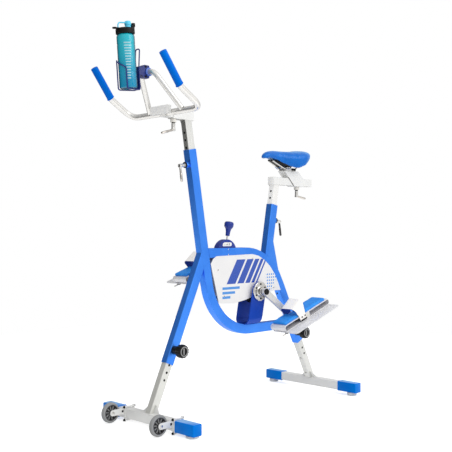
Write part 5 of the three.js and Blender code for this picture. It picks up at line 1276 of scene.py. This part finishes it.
def swollen(shape, voxel, cap, pressure=4.0, rest=None):
    """A closed shape remeshed, blown up a little as cloth, and smoothed. Returns its bmesh."""
    mesh = bpy.data.meshes.new("swelling")
    shape.to_mesh(mesh)
    shape.free()
    thing = bpy.data.objects.new("swelling", mesh)
    scene.collection.objects.link(thing)
    remesh = thing.modifiers.new("even_squares", "REMESH")
    remesh.mode = "VOXEL"
    remesh.voxel_size = mm(voxel)
    even = held_mesh(thing)
    thing.modifiers.clear()
    thing.data = even
    start = [vertex.co.copy() for vertex in even.vertices]
    cloth = thing.modifiers.new("swell", "CLOTH")
    cloth.settings.use_pressure = True
    cloth.settings.uniform_pressure_force = pressure
    cloth.settings.effector_weights.gravity = 0
    cloth.point_cache.frame_start = 1
    cloth.point_cache.frame_end = LAST_MOMENT
    for moment in range(1, LAST_MOMENT + 1):
        scene.frame_set(moment)
    grown = held_mesh(thing)
    thing.modifiers.clear()
    for vertex, here in zip(grown.vertices, start):
        step = vertex.co - here
        if step.length > mm(cap):
            step = step.normalized() * mm(cap)
        vertex.co = here + step
        if rest is not None and here.z < rest:
            vertex.co.z = here.z
    thing.data = grown
    scene.frame_set(1)
    soft = bmesh.new()
    soft.from_mesh(thing.data)
    bpy.data.objects.remove(thing)
    for _ in range(3):
        smoothed(soft, soft.verts[:])
    return soft


# %% Pedal pads
PAD_FOOT, PAD_THICK = 14.4, 11.0


def foam_pad(low, high):
    """One pad in the pedal's axes, its rounded corners upright."""
    shape = block(low, high)
    upright = [edge for edge in shape.edges
               if abs((edge.verts[1].co - edge.verts[0].co).normalized().z) > 0.9]
    bevel(shape, upright, 4, 4, "EDGES")
    top = [edge for edge in shape.edges if all(vertex.co.z > mm(high[2] - 0.1) for vertex in edge.verts)]
    bevel(shape, top, 2, 2, "EDGES")
    return shape


for side, place in pedal_place.items():
    halves = []
    for low, high in ((-155, -59), (-12, 146)):
        raw = foam_pad((-39, low, PAD_FOOT), (39, high, PAD_FOOT + PAD_THICK))
        halves.append(lay(swollen(raw, 3, 2.2, rest=mm(PAD_FOOT + 1.1)), place))
    mat = block((-35, -66, 14.3), (35, -4, 16.9), 0.6, place)
    pad = dress(f"{side}_pedal_pad", "foam", [*halves, mat], [pad_foam], f"{side}_pedal_unit", sharp=60)
print("pads done", len(pad.data.polygons), "faces each")

# %% [markdown]
# ## Foot straps
# The strap is a coated band that arches over the foot, lower in front than behind. It is modelled as a
# sheet: one row of points for its front edge and one for its rear edge, bridged and subdivided, then given
# its thickness. Two rivets and a rubber strip sit where it meets the loop.

# %% Straps
STRAP_WIDE, STRAP_SHOULDER, STRAP_LOW = 44.0, 22.0, 12.0


def strap_edge(shape, top, base_y, top_y, steps=8):
    """One edge of the strap as a chain of vertices, from the outer foot over the top to the inner foot."""
    upright = [(STRAP_WIDE, -10.0), (STRAP_WIDE, STRAP_LOW), (STRAP_WIDE, (top - STRAP_SHOULDER) * 0.6)]
    spots = upright[:]
    for corner, start in ((STRAP_WIDE - STRAP_SHOULDER, 0), (STRAP_SHOULDER - STRAP_WIDE, 90)):
        for step in range(steps + 1):
            turn = math.radians(start + 90 * step / steps)
            spots.append((corner + STRAP_SHOULDER * math.cos(turn),
                          top - STRAP_SHOULDER + STRAP_SHOULDER * math.sin(turn)))
    spots += [(-x, z) for x, z in reversed(upright)]
    chain = []
    for x, z in spots:
        y = base_y + (top_y - base_y) * max(z / top, 0)
        chain.append(shape.verts.new((mm(x), mm(y), mm(z))))
    return [shape.edges.new((here, there)) for here, there in zip(chain, chain[1:])]


for side, place in pedal_place.items():
    body = f"{side}_pedal_unit"
    strap = bmesh.new()
    front = strap_edge(strap, 60.5, -54, -84)
    rear = strap_edge(strap, 84.5, -16, -20)
    bmesh.ops.bridge_loops(strap, edges=front + rear)
    across = [edge for edge in strap.edges if edge not in front and edge not in rear]
    bmesh.ops.subdivide_edges(strap, edges=across, cuts=5, use_grid_fill=True)
    for _ in range(2):
        smoothed(strap, [vertex for vertex in strap.verts if not vertex.is_boundary], 0.4)
    outward(strap)
    bmesh.ops.solidify(strap, geom=strap.faces[:], thickness=mm(2.6))
    for face in strap.faces:
        centre = face.calc_center_median()
        outside = Vector((centre.x, 0, centre.z - mm(30)))
        face.material_index = 0 if face.normal.dot(outside) > 0 else 1
    web = dress(f"{side}_foot_strap", "web", [lay(strap, place)], [strap_outside, strap_inside], body,
                sharp=50)
    across_pedal = (place.to_3x3() @ LEFT).normalized()
    rivets = [turned([(0, 43), (3.4, 43), (3.4, 47.2, 0.8), (0, 47.8)], place @ Vector((0, mm(y), mm(8))),
                     across_pedal, 24) for y in (-44, -22)]
    keeper = block((44, -56, -9.6), (47.6, -14, -3.5), 0.8, place, paint=1)
    piece(f"{side}_strap_rivets", [*rivets, keeper], [dark_steel, black_plastic], body)
print("straps done")

# %% [markdown]
# ## Fins
# The fin is a clear moulded plate under the pedal. It is a rounded outline with eased edges and two low
# stiffening ribs along its free side, in a milky plastic that lets some light through.

# %% Fins
FIN_CORNERS = ((-40, -165), (102, -165), (102, 165), (-40, 165))
FIN_FOOT, FIN_THICK = -18.3, 4
for side, place in pedal_place.items():
    fin = bmesh.new()
    spots = [fin.verts.new((mm(x), mm(y), mm(FIN_FOOT))) for x, y in FIN_CORNERS]
    fin.faces.new(spots)
    bevel(fin, spots, 14, 8)
    pushed(fin, bmesh.ops.extrude_face_region, (0, 0, mm(FIN_THICK)), geom=fin.faces[:])
    ribs = [block((x - 1.2, -148, -14.4), (x + 1.2, 148, -13.2), 0.4, place) for x in (58, 92)]
    dress(f"{side}_pedal_fin", "clear", [eased(fin, 0.9, place), *ribs], [fin_clear], f"{side}_pedal_unit")
print("fins done")

# %% [markdown]
# ## Saddle
# The saddle is a crowned shell of padding, wide behind and narrow in front. Its copy is remeshed, swollen
# a little as cloth, and smoothed, which removes the source's facets. Then it is drawn: the nose
# droops a little over a hollow, and the tail rises on top and draws in below. Under it are a black shell,
# two chrome rails and a clamp.

# %% Saddle cushion
saddle_shape = bmesh.new()
saddle_shape.from_mesh(frame["nodes"]["saddle_cushion"].data)
bmesh.ops.remove_doubles(saddle_shape, verts=saddle_shape.verts[:], dist=1e-5)
saddle_low, saddle_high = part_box("saddle_cushion")
saddle_soft = swollen(saddle_shape, 4, 1.5, pressure=2.0)
crown = saddle_high[2]
for vertex in saddle_soft.verts:
    spot = vertex.co
    from_nose = spot.y - saddle_low[1]
    under = ramp(spot.z, crown - 0.014, crown - 0.044)
    hollow = ramp(from_nose, 0.012, 0.047) * ramp(from_nose, 0.15, 0.07)
    droop = ramp(from_nose, 0.05, 0)
    spot.z += mm(6) * hollow * under - mm(5) * droop * droop
    spot.z += mm(4) * (spot.z - saddle_low[2]) / (crown - saddle_low[2])
    spot.y += mm(4) * from_nose / (saddle_high[1] - saddle_low[1])
    back = ramp(from_nose, 0.17, 0.26)
    low = ramp(spot.z, crown - 0.018, crown - 0.068)
    spot.y -= mm(9) * back * low
    spot.z += mm(3.5) * back * (1 - low)
smoothed(saddle_soft, saddle_soft.verts[:])
cushion = dress("saddle_cushion", "vinyl", [saddle_soft], [saddle_vinyl], "saddle", sharp=70)
print("saddle cushion", len(cushion.data.polygons), "faces")

# %% Saddle shell
SHELL_ROWS = [(292, 8, 1117, 1113), (312, 14, 1115, 1106), (345, 22, 1112, 1096), (375, 26, 1108, 1088),
              (402, 30, 1106, 1086), (440, 36, 1106, 1092), (470, 41, 1108, 1098), (502, 34, 1110, 1104)]
shell = bmesh.new()
rows = []
for y, half_wide, top, foot in SHELL_ROWS:
    right_half = [(half_wide * 0.55, foot), (half_wide, top - 4), (half_wide, top)]
    corners = [(-x, z) for x, z in reversed(right_half)] + right_half
    rows.append([shell.verts.new(at(x, y, z)) for x, z in corners])
for here, there in zip(rows, rows[1:]):
    for index in range(6):
        after = (index + 1) % 6
        shell.faces.new((here[index], here[after], there[after], there[index]))
shell.faces.new(rows[0])
shell.faces.new(rows[-1])
outward(shell)

# %% Rails and clamp
BOLT_HEAD = [(0, 0), (6, 0, 0.5), (6, 4, 0.8), (2.8, 4.2), (2.6, 2.4), (0, 2.4)]
JAW = [(392, 1070.4), (460, 1070.4), (460, 1078), (454, 1084), (398, 1084), (392, 1078)]
rails = [rod([at(sign * 12, 303, 1113), at(sign * 18, 392, 1077), at(sign * 18, 460, 1077),
              at(sign * 24, 492, 1108)], 3.5, [16, 16], 8, 16, paint=1) for sign in (1, -1)]
clamp_block = plate(JAW, -24, 24, {3: 2, 4: 2}, 1.2, ON_BIKE, paint=3)
clamp_bolts = [turned(BOLT_HEAD, at(24, y, 1077), LEFT, 32) for y in (434, 451)]
clamp_bolts += [turned(BOLT_HEAD, at(x, 426, 1083.5), UP, 32, paint=2) for x in (-9, 9)]
dress("saddle_base", "built", [shell, *rails, clamp_block, *clamp_bolts],
      [black_plastic, chrome, dark_steel, arm_steel], "saddle")
print("saddle base done")

# %% [markdown]
# ## Resistance lever
# A half-round housing on the top tube guides a lever with a flared knob. The housing is the CAD node's
# copy with eased edges. Each of its faces carries a label, bare but for ticks that grow towards the rear,
# and a dark bead round its rim. The knob is turned and has a waist, a flare and a domed end.

# %% Dome, label and lever
LABEL = [(-32, 715.4), (22, 715.4), (27, 724), (22, 732), (-20, 732.6), (-30, 728)]
LEVER_KNOB = [(0, 40), (9, 40, 1.5), (10, 58, 6), (12.5, 71, 4), (20.4, 82, 3), (20.8, 97, 3),
              (17, 103.4, 3), (0, 104)]
trims = []
for side, sign in SIDES.items():
    flip = ON_BIKE @ MIRROR[side]
    trims.append(plate(LABEL, 13.6, 14.5, dict.fromkeys(range(6), 4), 0.2, flip, paint=1))
    for y in (-20, -10, 0, 10):
        trims.append(block((14.3, y - 1.6, 720), (14.8, y + 1.6, 722 + (y + 20) * 0.2), 0, flip, paint=2))
    rim = [at(sign * 14, -3 + 50 * math.sin(math.radians(turn)), 703 + 36 * math.cos(math.radians(turn)))
           for turn in range(-80, 81, 8)]
    trims.append(rod(rim, 1.2, sides=10, paint=3))
dress("resistance_dome", "moulded", [softened("resistance_dome", 1.6, 3), *trims],
      [navy_plastic, white_cap, black_plastic, cage_blue], "frame", weighted=True)
pivot = joint_spot("resistance_turn")
lever_up = up_along(-11)
hub = turned([(0, -4), (6, -4, 0.8), (6, 4, 0.8), (0, 4)], pivot, LEFT, 32)
stem = rod([pivot, pivot + lever_up * mm(45)], 3.5, paint=1)
knob = turned(LEVER_KNOB, pivot, lever_up, 56)
dress("resistance_lever", "moulded", [hub, stem, knob], [navy_plastic, chrome], "resistance_control")
print("lever done")

# %% [markdown]
# ## Screws
# Small domed screws hold the panels and the lever's housing. One turned head with a dark cross in it,
# painted shade for its cross recess, is repeated at the places measured on the photograph. A plain black
# disc in a panel's hole is painted shade for the hole's dark inside, and a plain black plug fills the
# loop's foot.

# %% Screw heads
def screw_head(x, y, z, radius, paint):
    """A domed head with a cross of two dark bars, painted shade for its recess."""
    spot = at(x, y, z)
    profile = [(0, -0.4), (radius, -0.4), (radius, 0.7, 0.4), (radius * 0.55, 1.9, 1.2), (0, 2.0)]
    shapes = [turned(profile, spot, LEFT, 32, paint=paint)]
    for turn in (20, 110):
        place = Matrix.Translation(spot) @ Matrix.Rotation(math.radians(turn), 4, "X")
        shapes.append(block((1.5, -radius * 0.55, -0.5), (2.15, radius * 0.55, 0.5), 0, place, paint=2))
    return shapes


# The first is a black disc in a panel's hole, painted shade for its dark inside.
heads = [turned([(0, -0.4), (4.6, -0.4), (4.6, 0.3), (0, 0.3)], at(17.6, 330, 488), LEFT, 24, paint=2)]
for y, z in ((-68, 613), (-31, 497), (153, 659), (300, 520)):
    heads += screw_head(21.0, y, z, 4.2, 0)
for y, z in ((1, 701), (1, 678)):
    heads += screw_head(17.4, y, z, 3.0, 1)
piece("frame_screws", heads, [chrome, white_cap, black_plastic], "frame")
loop_screw = turned([(0, -3), (4, -3), (4, 1.4, 0.6), (0, 2)], at(118, -358, 1275), LEFT, 24)
piece("loop_screw", [loop_screw], [black_plastic], "handlebar")
print("screws done")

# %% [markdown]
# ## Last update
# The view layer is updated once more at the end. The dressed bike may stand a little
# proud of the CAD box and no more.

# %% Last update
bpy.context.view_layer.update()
